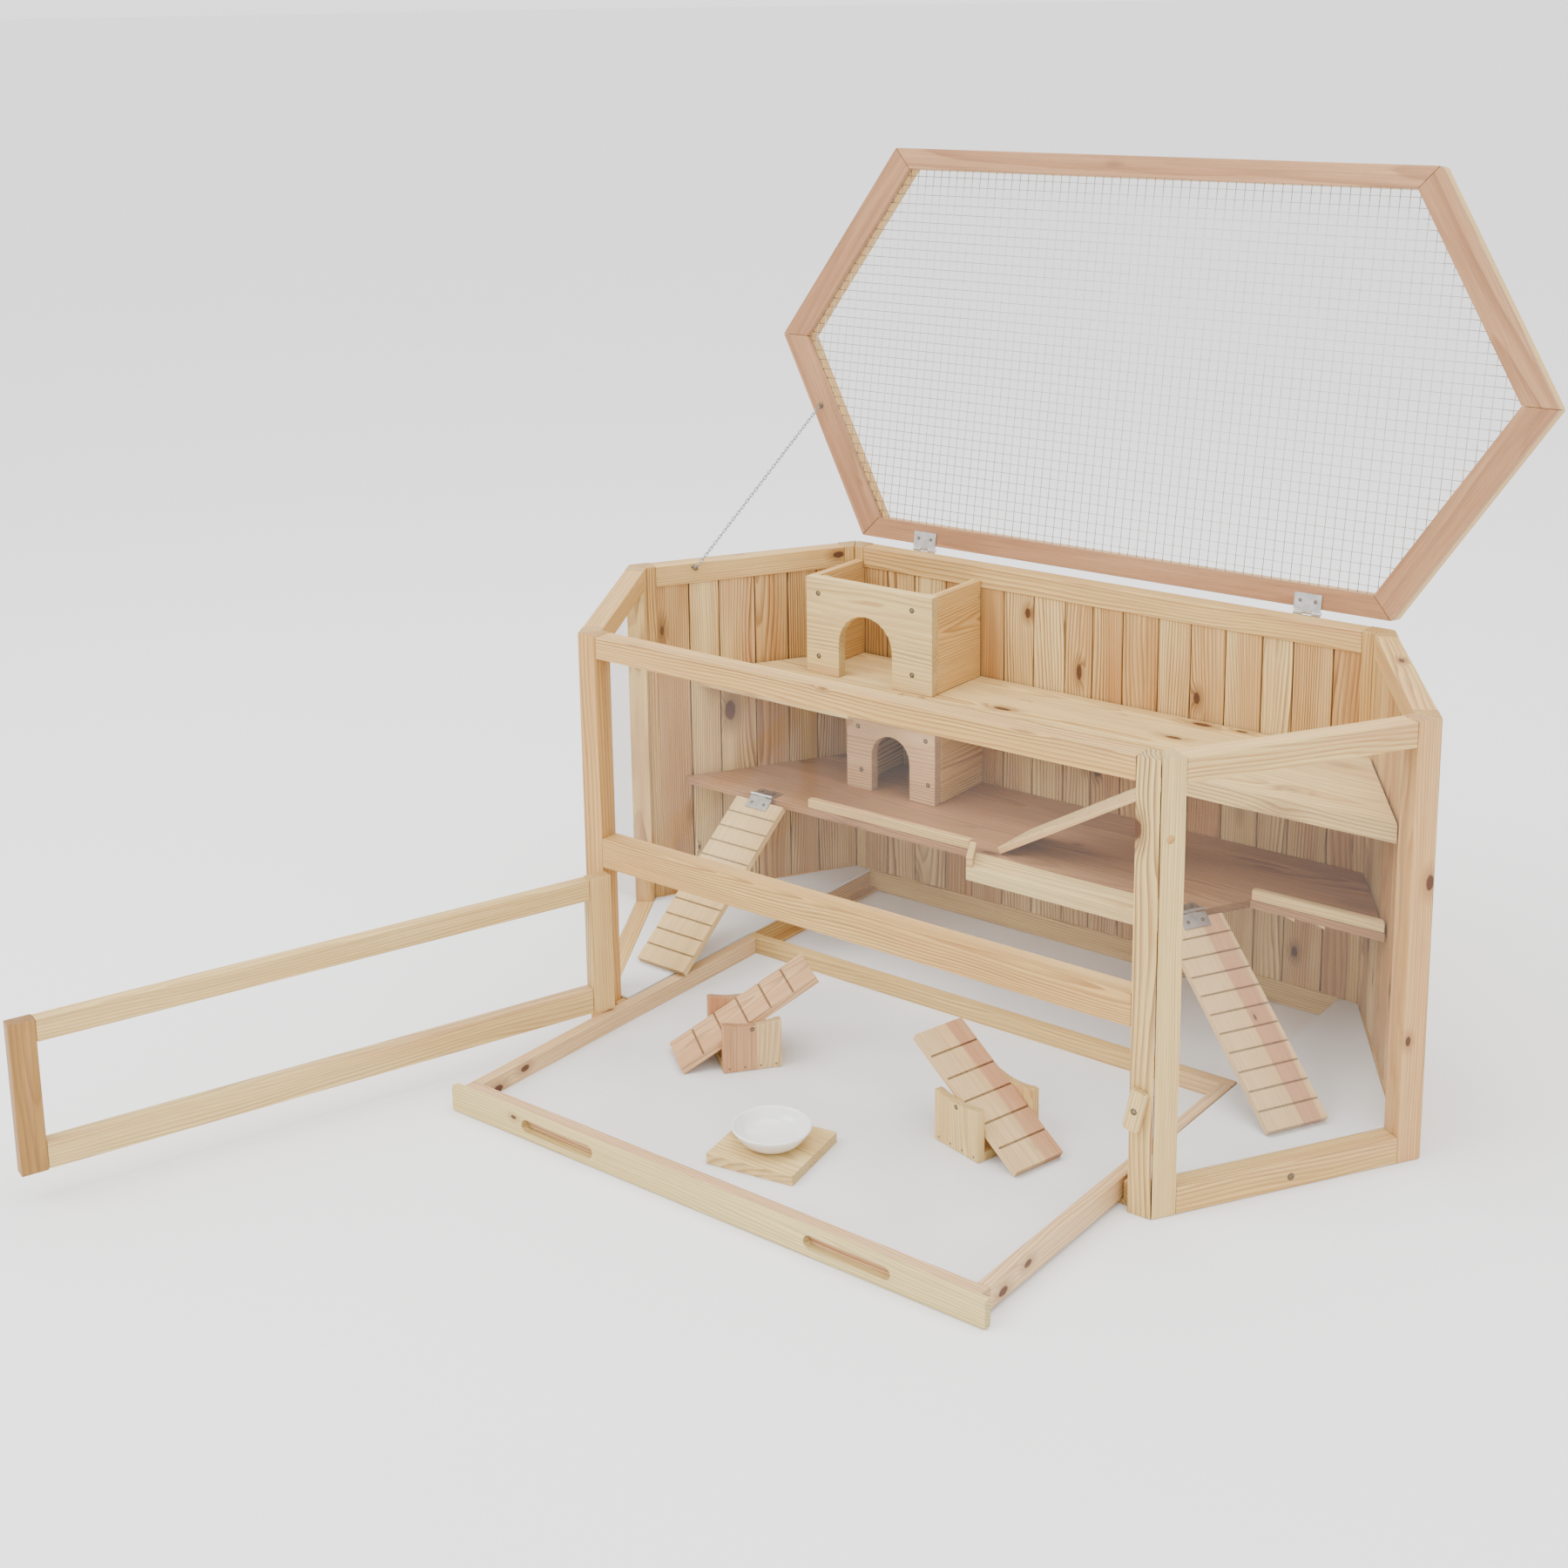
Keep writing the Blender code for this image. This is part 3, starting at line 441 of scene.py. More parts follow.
# Where the pith lies off a board's middle, across its width and its thickness, and how it leans
SAW_CUTS = {
    "flat": ((-0.02, 0.02), (0.018, 0.045), (-0.01, 0.01), (0.010, 0.030)),
    "quarter": ((0.05, 0.09), (-0.015, 0.015), (-0.004, 0.004), (-0.01, 0.01)),
    "rift": ((0.03, 0.06), (0.03, 0.06), (-0.008, 0.008), (-0.012, 0.012)),
}
GROOVE_DEPTH = 0.0008
END_GRAIN, GROOVE_PAINTED_SHADE = 1.0, 1.8      # how dark end grain is, and the painted shade on a groove's floor


def store_grain(mesh, along=0, cut="rift", tone=None, grooved=False):
    """Store each point's place in the piece and in the tree, how dark end grain is, and the painted shade in
    saw cuts.

    along is the axis that the grain runs in, and tone moves the wood from its pale to its warm colour.
    """
    lows, highs = spans([vertex.co for vertex in mesh.vertices])
    sizes = highs - lows
    centre = (lows + highs) / 2
    wide, thin = sorted((i for i in range(3) if i != along), key=lambda i: -sizes[i])
    *pith, lean_wide, lean_thin = (rng.uniform(*span) for span in SAW_CUTS[cut])
    pith_wide, pith_thin = (value * rng.choice((-1, 1)) for value in pith)
    start = rng.uniform(-20.0, 20.0)
    tone = rng.random() if tone is None else tone
    places = []
    grains = []
    for vertex in mesh.vertices:
        run, across, depth = (vertex.co[i] - centre[i] for i in (along, wide, thin))
        places += (run, across, depth)
        grains += (run + start, across + pith_wide + lean_wide * run, depth + pith_thin + lean_thin * run)
    ends = [END_GRAIN * (abs(face.normal[along]) > 0.85) for face in mesh.polygons]
    # Faces sunk inside the grooves are darkened as painted shade.
    if grooved:
        for i, face in enumerate(mesh.polygons):
            sunk = abs(face.center[thin] - centre[thin]) < sizes[thin] / 2 - GROOVE_DEPTH
            inner = abs(face.center[along] - centre[along]) < sizes[along] / 2 - GROOVE_DEPTH
            if sunk and inner and abs(face.normal[wide]) < 0.5:
                ends[i] = GROOVE_PAINTED_SHADE
    store(mesh, "place", "FLOAT_VECTOR", "POINT", places)
    store(mesh, "grain", "FLOAT_VECTOR", "POINT", grains)
    store(mesh, "tone", "FLOAT", "POINT", [tone] * len(mesh.vertices))
    store(mesh, "end", "FLOAT", "FACE", ends)


def ease_edges(bm, ease, segments=2):
    """Round the edges where a planed piece would be broken with sandpaper."""
    sharp = [edge for edge in bm.edges if edge.is_manifold and edge.calc_face_angle() > 0.5]
    if ease and sharp:
        bmesh.ops.bevel(
            bm, geom=sharp, offset=ease, offset_type="OFFSET", segments=segments, profile=0.5,
            affect="EDGES", clamp_overlap=True,
        )


def place_piece(name, bm, matrix, material, body, nodes):
    """Turn a bmesh in its own axes into a piece that rides on a body and stands for CAD nodes."""
    piece = add_mesh(name, bm, material)
    piece.matrix_world = matrix
    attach(piece, body)
    if nodes:
        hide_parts(*nodes)
    return piece


def board(name, matrix, low, high, material, body, nodes=(), ease=EASE, **grain):
    """A planed board between two corners in the given axes, with eased edges."""
    low = Vector(low)
    high = Vector(high)
    bm = bmesh.new()
    bmesh.ops.create_cube(bm, size=1.0)
    bmesh.ops.scale(bm, vec=high - low, verts=bm.verts)
    ease_edges(bm, ease)
    centred = matrix @ Matrix.Translation((low + high) / 2)
    store_grain(place_piece(name, bm, centred, material, body, nodes).data, **grain)


def slab(name, matrix, outline, low, high, material, body, nodes=(), ease=EASE, **grain):
    """A flat outline in the given XY plane, between two heights, with eased edges."""
    bm = bmesh.new()
    face = bm.faces.new([bm.verts.new((x, y, low)) for x, y in outline])
    made = bmesh.ops.extrude_face_region(bm, geom=[face])
    top = [item for item in made["geom"] if isinstance(item, bmesh.types.BMVert)]
    bmesh.ops.translate(bm, vec=(0.0, 0.0, high - low), verts=top)
    bmesh.ops.recalc_face_normals(bm, faces=bm.faces)
    ease_edges(bm, ease)
    store_grain(place_piece(name, bm, matrix, material, body, nodes).data, **grain)


def dress(node, body, material, matrix=WORLD, ease=EASE, grained=True, smooth=False, **grain):
    """A finished copy of a CAD node: flat faces merged, edges eased and grain stored."""
    bm = bmesh.new()
    bm.from_mesh(frame["nodes"][node].data)
    bmesh.ops.transform(bm, matrix=matrix.inverted(), verts=bm.verts)
    bmesh.ops.remove_doubles(bm, verts=bm.verts, dist=1e-6)
    bmesh.ops.dissolve_limit(bm, angle_limit=0.01, verts=bm.verts, edges=bm.edges)
    ease_edges(bm, ease)
    bmesh.ops.triangulate(bm, faces=[face for face in bm.faces if len(face.verts) > 4])
    for face in bm.faces:
        face.smooth = smooth
    for edge in bm.edges:
        edge.smooth = not edge.is_manifold or edge.calc_face_angle() < 0.6
    piece = place_piece(f"{node}_finished", bm, matrix, material, body, [node])
    if grained:
        store_grain(piece.data, **grain)
    return piece


def glued_up(node, material, cuts):
    """A CAD panel ripped along X at the given places, so that each board has its own grain."""
    for i, (start, end) in enumerate(zip(cuts, cuts[1:])):
        bm = bmesh.new()
        bm.from_mesh(frame["nodes"][node].data)
        for level, normal in ((start + JOINT / 2, -1.0), (end - JOINT / 2, 1.0)):
            bmesh.ops.bisect_plane(
                bm, geom=[*bm.verts, *bm.edges, *bm.faces], plane_co=(0.0, level, 0.0),
                plane_no=(0.0, normal, 0.0), clear_outer=True,
            )
            bmesh.ops.holes_fill(bm, edges=[edge for edge in bm.edges if edge.is_boundary])
        bmesh.ops.recalc_face_normals(bm, faces=bm.faces)
        bmesh.ops.dissolve_limit(bm, angle_limit=0.01, verts=bm.verts, edges=bm.edges)
        ease_edges(bm, 0.0003, 1)
        piece = place_piece(f"{node}_board_{i}", bm, WORLD, material, "cage", [node])
        store_grain(piece.data, cut=rng.choice(("flat", "rift")), tone=rng.uniform(0.0, 0.45))


def spun(profile, steps):
    """A bmesh turned about Z from a profile that runs down from the top."""
    bm = bmesh.new()
    verts = [bm.verts.new((radius, 0.0, height)) for radius, height in profile]
    edges = [bm.edges.new(pair) for pair in zip(verts, verts[1:])]
    bmesh.ops.spin(
        bm, geom=verts + edges, cent=(0, 0, 0), axis=UP, dvec=(0, 0, 0), angle=2 * math.pi, steps=steps,
        use_merge=True,
    )
    bmesh.ops.remove_doubles(bm, verts=bm.verts, dist=1e-6)
    bmesh.ops.recalc_face_normals(bm, faces=bm.faces)
    return bm


def turned(name, profile, matrix, material, body, nodes=(), steps=24):
    """A smooth turned piece."""
    bm = spun(profile, steps)
    for face in bm.faces:
        face.smooth = True
    return place_piece(name, bm, matrix, material, body, nodes)


def rod(bm, start, end, radius, sides=6):
    """A straight wire between two points, added to a bmesh."""
    start = Vector(start)
    end = Vector(end)
    matrix = axes((start + end) / 2, (end - start).orthogonal(), end - start)
    made = bmesh.ops.create_cone(
        bm, cap_ends=True, segments=sides, radius1=radius, radius2=radius,
        depth=(end - start).length, matrix=matrix,
    )
    for vertex in made["verts"]:
        for face in vertex.link_faces:
            face.smooth = len(face.verts) == 4


# A screw head and the edge of its hole, from the middle out: (share of the head's radius, height)
SCREW_PROFILE = (
    (0.0, 0.0005), (0.45, 0.0005), (0.80, 0.0004), (0.95, 0.0002), (1.0, 0.0001), (1.22, 0.00012),
    (1.26, -0.0004), (0.0, -0.0020),
)
RECESS = (SCREW_RADIUS * 1.15, SCREW_RADIUS * 0.26, 0.0012)


def screw_mesh():
    """A countersunk screw head with a cross recess, in the edge of its hole; the edge and the recess carry
    painted shade.
    """
    bm = spun([(SCREW_RADIUS * share, height) for share, height in SCREW_PROFILE], 20)
    for face in bm.faces:
        # Faces outside the head's radius take the painted shade of the hole.
        face.material_index = int(face.calc_center_median().to_2d().length > SCREW_RADIUS)
    holder = add_mesh("screw_head_blank", bm, SCREW_METAL, HOLE_SHADE_PAINT)
    cutters = []
    for turn in (0.0, math.pi / 2):
        bm = bmesh.new()
        bmesh.ops.create_cube(bm, size=1.0)
        bmesh.ops.scale(bm, vec=RECESS, verts=bm.verts)
        bmesh.ops.rotate(bm, cent=(0, 0, 0), matrix=Matrix.Rotation(turn, 3, "Z"), verts=bm.verts)
        # The cutter's painted shade colours the walls of the cross recess.
        cutters.append(add_mesh("recess", bm, HOLE_SHADE_PAINT))
        modifier = holder.modifiers.new("recess", "BOOLEAN")
        modifier.solver = "EXACT"
        modifier.object = cutters[-1]
    bpy.context.view_layer.update()
    done = bpy.data.meshes.new_from_object(holder.evaluated_get(bpy.context.evaluated_depsgraph_get()))
    done.name = "screw_head_cut"
    for helper in (holder, *cutters):
        bpy.data.objects.remove(helper, do_unlink=True)
    return done


def screw(name, place, normal, body, size=1.0):
    """A screw set flush in a face that looks along normal, its cross turned at random."""
    turn = rng.uniform(0.0, math.pi)
    side = Vector(normal).orthogonal()
    piece = add_object(name, SCREW)
    piece.matrix_world = axes(place, side, normal) @ Matrix.Rotation(turn, 4, "Z") @ Matrix.Scale(size, 4)
    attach(piece, body)


# Finishes

PINE_TONES = ((0.715, 0.505, 0.198), (0.28, 0.12, 0.032), (0.62, 0.37, 0.12))
PINE = wood("pine", *PINE_TONES)
SHELF = wood(
    "upper_shelf_pine", (0.76, 0.58, 0.26), (0.42, 0.22, 0.07), (0.69, 0.46, 0.17), contrast=0.8, knotty=2
)
PALE = wood("pale_pine", (0.735, 0.56, 0.245), (0.42, 0.225, 0.072), (0.68, 0.46, 0.175))
# A darker copy of the shelf pine: painted shade on the middle shelf, which lies under the upper one.
SHADED = wood(
    "shelf_pine", (0.42, 0.225, 0.096), (0.2, 0.085, 0.032), (0.33, 0.16, 0.064), contrast=0.85, knotty=2
)
ORANGE = wood(
    "orange_pine", (0.64, 0.39, 0.135), (0.35, 0.15, 0.036), (0.56, 0.295, 0.085), ring=0.0046, contrast=0.85
)
AMBER = wood(
    "amber_pine", (0.37, 0.208, 0.055), (0.22, 0.098, 0.022), (0.31, 0.155, 0.036), ring=0.005, contrast=0.6
)
PLANK_TONES = ((0.8, 0.59, 0.255), (0.23, 0.095, 0.026), (0.5, 0.26, 0.085))
PLANK = wood("plank_pine", *PLANK_TONES, contrast=0.9, knotty=2)
# Large knots on the inside of the walls: (wall, plank): (along, across, depth, size)
PLANK_KNOTS = {
    ("left_rear", 3): (0.035, 0.013, 0.004, 0.008),
    ("back", 1): (-0.18, 0.01, 0.004, 0.0042),
    ("back", 4): (0.128, 0.014, 0.004, 0.0045),
    ("back", 7): (0.0, 0.012, 0.004, 0.004),
    ("back", 10): (0.2, -0.014, 0.004, 0.004),
}
END_KNOT = wood("knotted_rail_pine", *PINE_TONES, knots=[(-0.13, 0.004, 0.0133, 0.0046)])
# Near-black pine for the tongues, painted as the shadow in the gaps between planks.
SHADOW = wood("tongue_painted_shadow", (0.11, 0.052, 0.022), (0.06, 0.026, 0.01), (0.08, 0.038, 0.016), knotty=0)
TREAD = wood(
    "tread_pine", (0.72, 0.54, 0.265), (0.44, 0.245, 0.09), (0.67, 0.455, 0.2), contrast=0.6, ridges=0.0022
)
TREAD_PINK = wood(
    "two_tone_tread_pine", (0.71, 0.52, 0.27), (0.49, 0.28, 0.12), (0.66, 0.43, 0.2), contrast=0.6,
    heart=(0.008, 0.036), ridges=0.0022,
)
PLY = wood("lid_plywood", (0.52, 0.295, 0.145), (0.27, 0.12, 0.052), (0.36, 0.175, 0.08), ring=0.011)
STRIPED = wood(
    "striped_pine", (0.73, 0.54, 0.225), (0.23, 0.1, 0.03), (0.66, 0.43, 0.155), ring=0.004,
    contrast=0.95, knots=[(0.176, -0.0125, -0.0135, 0.0064)],
)
KNOTTED = wood(
    "knotted_pine", (0.66, 0.425, 0.19), (0.42, 0.195, 0.068), (0.61, 0.35, 0.135),
    knots=[(0.071, 0.01, -0.0135, 0.0052), (-0.11, -0.008, -0.0135, 0.0034)],
)
PINK = wood("pink_pine", (0.69, 0.46, 0.245), (0.33, 0.145, 0.056), (0.61, 0.345, 0.16), contrast=0.85)
TWO_TONE = wood(
    "two_tone_pine", (0.72, 0.53, 0.27), (0.42, 0.215, 0.085), (0.66, 0.43, 0.2), heart=(-0.06, 0.004)
)
TRAY_WOOD = wood(
    "tray_board_pine", (0.71, 0.57, 0.265), (0.48, 0.32, 0.105), (0.65, 0.475, 0.18),
    knots=[(-0.268, 0.007, -0.006, 0.0026)], knotty=0,
)
DOOR_WOOD = wood(
    "door_rail_pine", (0.72, 0.545, 0.235), (0.43, 0.24, 0.08), (0.66, 0.445, 0.165), contrast=0.8, knotty=0
)
RAIL_WOOD = wood(
    "tray_rail_pine", (0.69, 0.49, 0.265), (0.48, 0.265, 0.115), (0.63, 0.4, 0.185),
    knots=[(-0.186, 0.004, 0.0075, 0.004), (-0.232, -0.004, 0.0075, 0.0048)],
)
CLEAR = clear_sheet("clear_acrylic")
ZINC = zinc("zinc_plate", 0.56, 0.32)
WIRE = zinc("zinc_wire", 0.6, 0.34)
CHAIN = zinc("dull_chain", 0.34, 0.36, (1.0, 0.98, 0.94))
# The yellow-zinc tint is the screws' own; the low level of 0.2 is partly painted shade, as on heads sunk in
# their holes.
SCREW_METAL = zinc("screw_steel", 0.2, 0.42, (1.0, 0.86, 0.62))
# Painted shade for the holes round screw heads and their cross recesses.
HOLE_SHADE_PAINT = painted_hole_shade("painted_hole_shade")
WHITE = white_sheet("white_plastic")
GLAZE = glaze("white_glaze")
SCREW = screw_mesh()
WALL_WOODS = {
    ("right_front", "first"): PALE,
    ("right_front", "last"): KNOTTED,
    ("right_front", "top_rail"): PALE,
    ("left_rear", "top_rail"): END_KNOT,
}


# Body

def inset(outline, *distances):
    """An outline moved inward, by one distance all round or by one for each side."""
    lines = []
    for i, first in enumerate(outline):
        start = Vector(first)
        along = (Vector(outline[(i + 1) % len(outline)]) - start).normalized()
        distance = distances[i % len(distances)]
        lines.append((start + Vector((-along.y, along.x)) * distance, along))
    points = []
    for i, (point, along) in enumerate(lines):
        before, before_along = lines[i - 1]
        step = (point - before).cross(along) / before_along.cross(along)
        points.append(tuple(before + before_along * step))
    return points


INNER = inset(CORNERS, STOCK)


def wall_pieces(name, side):
    """Four members of one mitred wall."""
    start = Vector(CORNERS[side]).to_3d()
    end = Vector(CORNERS[(side + 1) % 6]).to_3d()
    run = end - start
    matrix = axes(start, run)
    along = run.normalized()
    near = (Vector(INNER[side]).to_3d() - start).dot(along)
    far = (Vector(INNER[(side + 1) % 6]).to_3d() - start).dot(along)
    length = run.length
    last = length - WALL_STILE
    node = f"{name}_frame"
    plans = {
        "first": [(SEAM, 0), (WALL_STILE, 0), (WALL_STILE, STOCK), (near + SEAM, STOCK)],
        "last": [(last, 0), (length - SEAM, 0), (far - SEAM, STOCK), (last, STOCK)],
    }
    for place, plan in plans.items():
        stile = f"{name}_stile_{place}"
        material = WALL_WOODS.get((name, place), PINE)
        slab(stile, matrix, plan, 0.0, TOP, material, "cage", [node], along=2, cut="quarter")
    low = WALL_STILE + JOINT
    high = last - JOINT
    sunk = 0.0002          # rails lie a little under the stiles' faces and ends
    rails = (("top_rail", TOP - WALL_TOP_RAIL, TOP - 3 * sunk), ("bottom_rail", 2 * sunk, WALL_BOTTOM_RAIL))
    for part, bottom, top in rails:
        material = WALL_WOODS.get((name, part), PINE)
        corner = (low, sunk, bottom)
        board(f"{name}_{part}", matrix, corner, (high, STOCK - sunk, top), material, "cage", [node])
    return matrix, low, high


def plank_row(name, matrix, low, high):
    """Upright planks, with the tongues behind the gaps painted near-black as the shadow in each joint."""
    node = f"{name}_planks"
    bottom, top = extent(node, matrix)
    count = round((high - low) / PLANK_WIDTH)
    edge = low - HIDDEN
    pitch = (high - low + 2 * HIDDEN) / count
    widths = [pitch * rng.uniform(0.86, 1.14) for _ in range(count)]
    share = pitch * count / sum(widths)
    for i, width in enumerate(widths):
        width *= share
        corner = (edge + PLANK_GAP, bottom.y, bottom.z)
        opposite = (edge + width - PLANK_GAP, top.y - rng.uniform(0.0, 0.0004), top.z)
        cut = rng.choice(("quarter", "rift", "flat"))
        plank = f"plank_pine_{name}_{i:02d}"
        knots = [PLANK_KNOTS[name, i]] if (name, i) in PLANK_KNOTS else ()
        material = wood(plank, *PLANK_TONES, contrast=0.9, knots=knots) if knots else PLANK
        board(f"{name}_plank_{i:02d}", matrix, corner, opposite, material, "cage", [node], along=2, cut=cut)
        edge += width
    middle = (bottom.y + top.y) / 2
    corner = (low - HIDDEN, middle - 0.0012, bottom.z + 0.001)
    opposite = (high + HIDDEN, middle + 0.0012, top.z - 0.001)
    # The tongues carry the painted shadow of the gaps.
    board(f"{name}_tongues", matrix, corner, opposite, SHADOW, "cage", [node], along=2, tone=1.0, ease=0.0)


def front_pieces():
    """Front stiles and rails."""
    inner = INNER[1][0]
    left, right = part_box("front_stile_left"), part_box("front_stile_right")
    back = FRONT + STOCK
    plans = (
        ("front_stile_left", ORANGE, [
            (SEAM - FRONT_HALF, FRONT), (left[1].x, FRONT), (left[1].x, back), (SEAM - inner, back)
        ]),
        ("front_stile_right", STRIPED, [
            (right[0].x, FRONT), (FRONT_HALF - SEAM, FRONT), (inner - SEAM, back), (right[0].x, back)
        ]),
    )
    for node, material, plan in plans:
        slab(f"{node}_wood", WORLD, plan, 0.0, TOP, material, "cage", [node], along=2, tone=0.4)
    for node, cut in (("front_top_rail", "rift"), ("front_middle_rail", "flat")):
        low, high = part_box(node)
        high.z -= 0.0005 if node == "front_top_rail" else 0.0
        board(f"{node}_wood", WORLD, low, high, PINE, "cage", [node], cut=cut)


def panes():
    """Clear panes, which cast no shadow."""
    for node in ("front_pane", "left_front_pane", "right_front_pane", "door_pane"):
        body = "door" if node == "door_pane" else "cage"
        pane = dress(node, body, CLEAR, ease=0.0, grained=False)
        pane.visible_shadow = False


def shelves():
    """The two shelves as glued-up boards, the middle one in a darker copy of the pine as painted shade, with
    its front board, lips and cleats.
    """
    # The middle shelf takes the painted-shade pine.
    for node, pitch, material in (("upper_shelf", 0.062, SHELF), ("mid_shelf", 0.071, SHADED)):
        low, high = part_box(node)
        count = round((high.y - low.y) / pitch)
        cuts = [low.y + (high.y - low.y) * i / count for i in range(count + 1)]
        cuts[0] -= JOINT
        cuts[-1] += JOINT
        glued_up(node, material, cuts)
    dress("mid_shelf_front_board", "cage", PALE, cut="flat", tone=0.0)
    for node in ("mid_shelf_lip_left", "mid_shelf_lip_right", "mid_shelf_end_lip"):
        dress(node, "cage", PALE, cut="quarter")
    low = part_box("mid_shelf_lip_right")[0]
    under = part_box("mid_shelf")[0].z
    upright = Matrix.Translation((low.x, low.y + 0.002, under)) @ Matrix.Rotation(-math.pi / 2, 4, "X")
    for i, x in enumerate((0.040, 0.078)):
        wedge = [(x, 0.0), (x + CLEAT[0], 0.0), (x + CLEAT[0], CLEAT[2])]
        slab(f"mid_shelf_cleat_{i}", upright, wedge, 0.0, CLEAT[1], PALE, "cage", ease=0.0)


def houses():
    """Hideouts and floors, with the small blocks inside the upper hideout's front corners."""
    for house, material in (("upper_house", PALE), ("lower_house", PINK)):
        dress(f"{house}_front", "cage", material, tone=0.2)
        for side in ("left", "right"):
            dress(f"{house}_{side}_wall", "cage", PINE, along=1, cut="flat")
    low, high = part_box("upper_house_front")
    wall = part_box("upper_house_left_wall")[1].x - low.x
    for side, x in (("left", low.x + wall), ("right", high.x - wall - HOUSE_BLOCK)):
        corner = (x, high.y, high.z - 0.110)
        opposite = (x + HOUSE_BLOCK, high.y + HOUSE_BLOCK, high.z - 0.002)
        board(f"upper_house_block_{side}", WORLD, corner, opposite, PALE, "cage", along=2)
    for node in ("left_floor", "right_floor"):
        dress(node, "cage", WHITE, ease=0.0004, grained=False)
    for node in ("left_guide", "right_guide"):
        dress(node, "cage", PINE, along=1)


def hinge(node, body, outward, spots):
    """A zinc hinge leaf with its screws; spots are where the screws go."""
    dress(node, body, ZINC, ease=0.0, grained=False, smooth=True)
    for i, spot in enumerate(spots):
        screw(f"{node}_screw_{i}", spot, outward, body, size=0.62)


def screw_pair(middle, axis):
    """Two places for a hinge leaf's screws, either side of its middle."""
    return [middle + axis * step for step in (-HINGE_SCREW, HINGE_SCREW)]


def ramps():
    """Grooved ramps and their hinges."""
    for node, body in (("left_ramp", "left_ramp"), ("right_ramp", "right_ramp"), ("upper_ramp", "cage")):
        matrix = sloped_axes(node)
        material = TREAD_PINK if node == "right_ramp" else TREAD
        dress(node, body, material, matrix, cut="quarter", ease=0.0003, grooved=True)
        if body == "cage":
            continue
        joint = joints[f"{node}_hinge"]
        axis = Vector(joint["axis"])
        pivot = Vector(joint["pos_m"])
        run = Vector(matrix.col[0][:3])
        up = Vector(matrix.col[2][:3])
        flat = Vector((run.x, run.y, 0.0)).normalized()
        middle = pivot - flat * LEAF_SCREW
        middle.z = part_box(f"{node}_shelf_leaf")[0].z + LEAF_THICKNESS + PROUD
        hinge(f"{node}_shelf_leaf", "cage", UP, screw_pair(middle, axis))
        hinge(f"{node}_leaf", body, up, screw_pair(pivot + run * LEAF_SCREW - up * 0.0009, axis))


# Lid

def lid_axes():
    """Axes of the shut lid, turned with it to where it stands."""
    joint = joints["lid_hinge"]
    turn = Matrix.Rotation(-math.radians(joint["range_deg"][1]), 4, "X")
    return Matrix.Translation(joint["pos_m"]) @ turn


def lid_outline(matrix):
    """The lid's six corners in its own axes, counter-clockwise from the front left."""
    low, high = extent("lid_frame", matrix)
    inverse = matrix.inverted()
    half = max(
        vertex.co.x for vertex in frame["nodes"]["lid_frame"].data.vertices
        if abs((inverse @ vertex.co).y - low.y) < 1e-4
    )
    middle = (low.y + high.y) / 2
    return [(-half, low.y), (half, low.y), (high.x, middle), (half, high.y), (-half, high.y), (low.x, middle)]


def lid_pieces():
    """Two rings of six mitred strips with wire mesh between them, and the hinges."""
    matrix = lid_axes()
    outer = lid_outline(matrix)
    window = inset(outer, *LID_STRIPS)
    for node, material, cut in (("lid_frame", PINE, "rift"), ("lid_panel", PLY, "flat")):
        low, high = extent(node, matrix)
        for i in range(6):
            after = (i + 1) % 6
            start = Vector(outer[i]).to_3d()
            end = Vector(outer[after]).to_3d()
            along = (end - start).normalized()
            side = Vector((-along.y, along.x, 0.0))
            plan = []
            for corner, nudge in ((outer[i], 1), (outer[after], -1), (window[after], -1), (window[i], 1)):
                offset = Vector(corner).to_3d() - start
                plan.append((offset.dot(along) + nudge * JOINT, offset.dot(side)))
            slab(
                f"{node}_strip_{i}", matrix @ axes(start, end - start), plan, low.z, high.z, material, "lid",
                [node], cut=cut, tone=0.3 + 0.12 * i, ease=0.0008,
            )
    wire_mesh(matrix, outer)
    across = Vector((1.0, 0.0, 0.0))
    for side in ("left", "right"):
        fixed = f"lid_hinge_{side}_fixed"
        low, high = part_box(fixed)
        middle = (low.x + high.x) / 2
        spot = Vector((middle, high.y - LEAF_FACE, (low.z + high.z) / 2 - 0.004))
        hinge(fixed, "cage", (0, 1, 0), screw_pair(spot, across))
        moving = f"lid_hinge_{side}_moving"
        under = extent(moving, matrix)[0].z - PROUD
        spots = [matrix @ spot for spot in screw_pair(Vector((middle, -0.0145, under)), across)]
        hinge(moving, "lid", matrix.to_3x3() @ -UP, spots)


def clip(outline, level, axis):
    """Where a straight line across a convex outline enters and leaves it."""
    crossings = []
    for i, first in enumerate(outline):
        second = outline[(i + 1) % len(outline)]
        low, high = sorted((first, second), key=lambda point: point[axis])
        if low[axis] <= level < high[axis]:
            share = (level - low[axis]) / (high[axis] - low[axis])
            crossings.append(low[1 - axis] + share * (high[1 - axis] - low[1 - axis]))
    return (min(crossings), max(crossings)) if len(crossings) == 2 else None


def wire_mesh(matrix, outer):
    """Welded wire mesh: two layers of straight wires that touch where they cross."""
    low, high = extent("lid_mesh", matrix)
    edge = inset(outer, 0.010)
    middle = (low.z + high.z) / 2
    bm = bmesh.new()
    for axis, level in ((0, middle - MESH_WIRE * 0.42), (1, middle + MESH_WIRE * 0.42)):
        first = min(point[axis] for point in edge)
        last = max(point[axis] for point in edge)
        count = int((last - first) / MESH_PITCH)
        start = (first + last) / 2 - count * MESH_PITCH / 2
        for i in range(count + 1):
            across = start + i * MESH_PITCH
            span = clip(edge, across, axis)
            if span is None or span[1] - span[0] < 0.01:
                continue
            ends = [(across, value, level) if axis == 0 else (value, across, level) for value in span]
            rod(bm, *ends, MESH_WIRE / 2)
    place_piece("lid_wire_mesh", bm, matrix, WIRE, "lid", ["lid_mesh"])


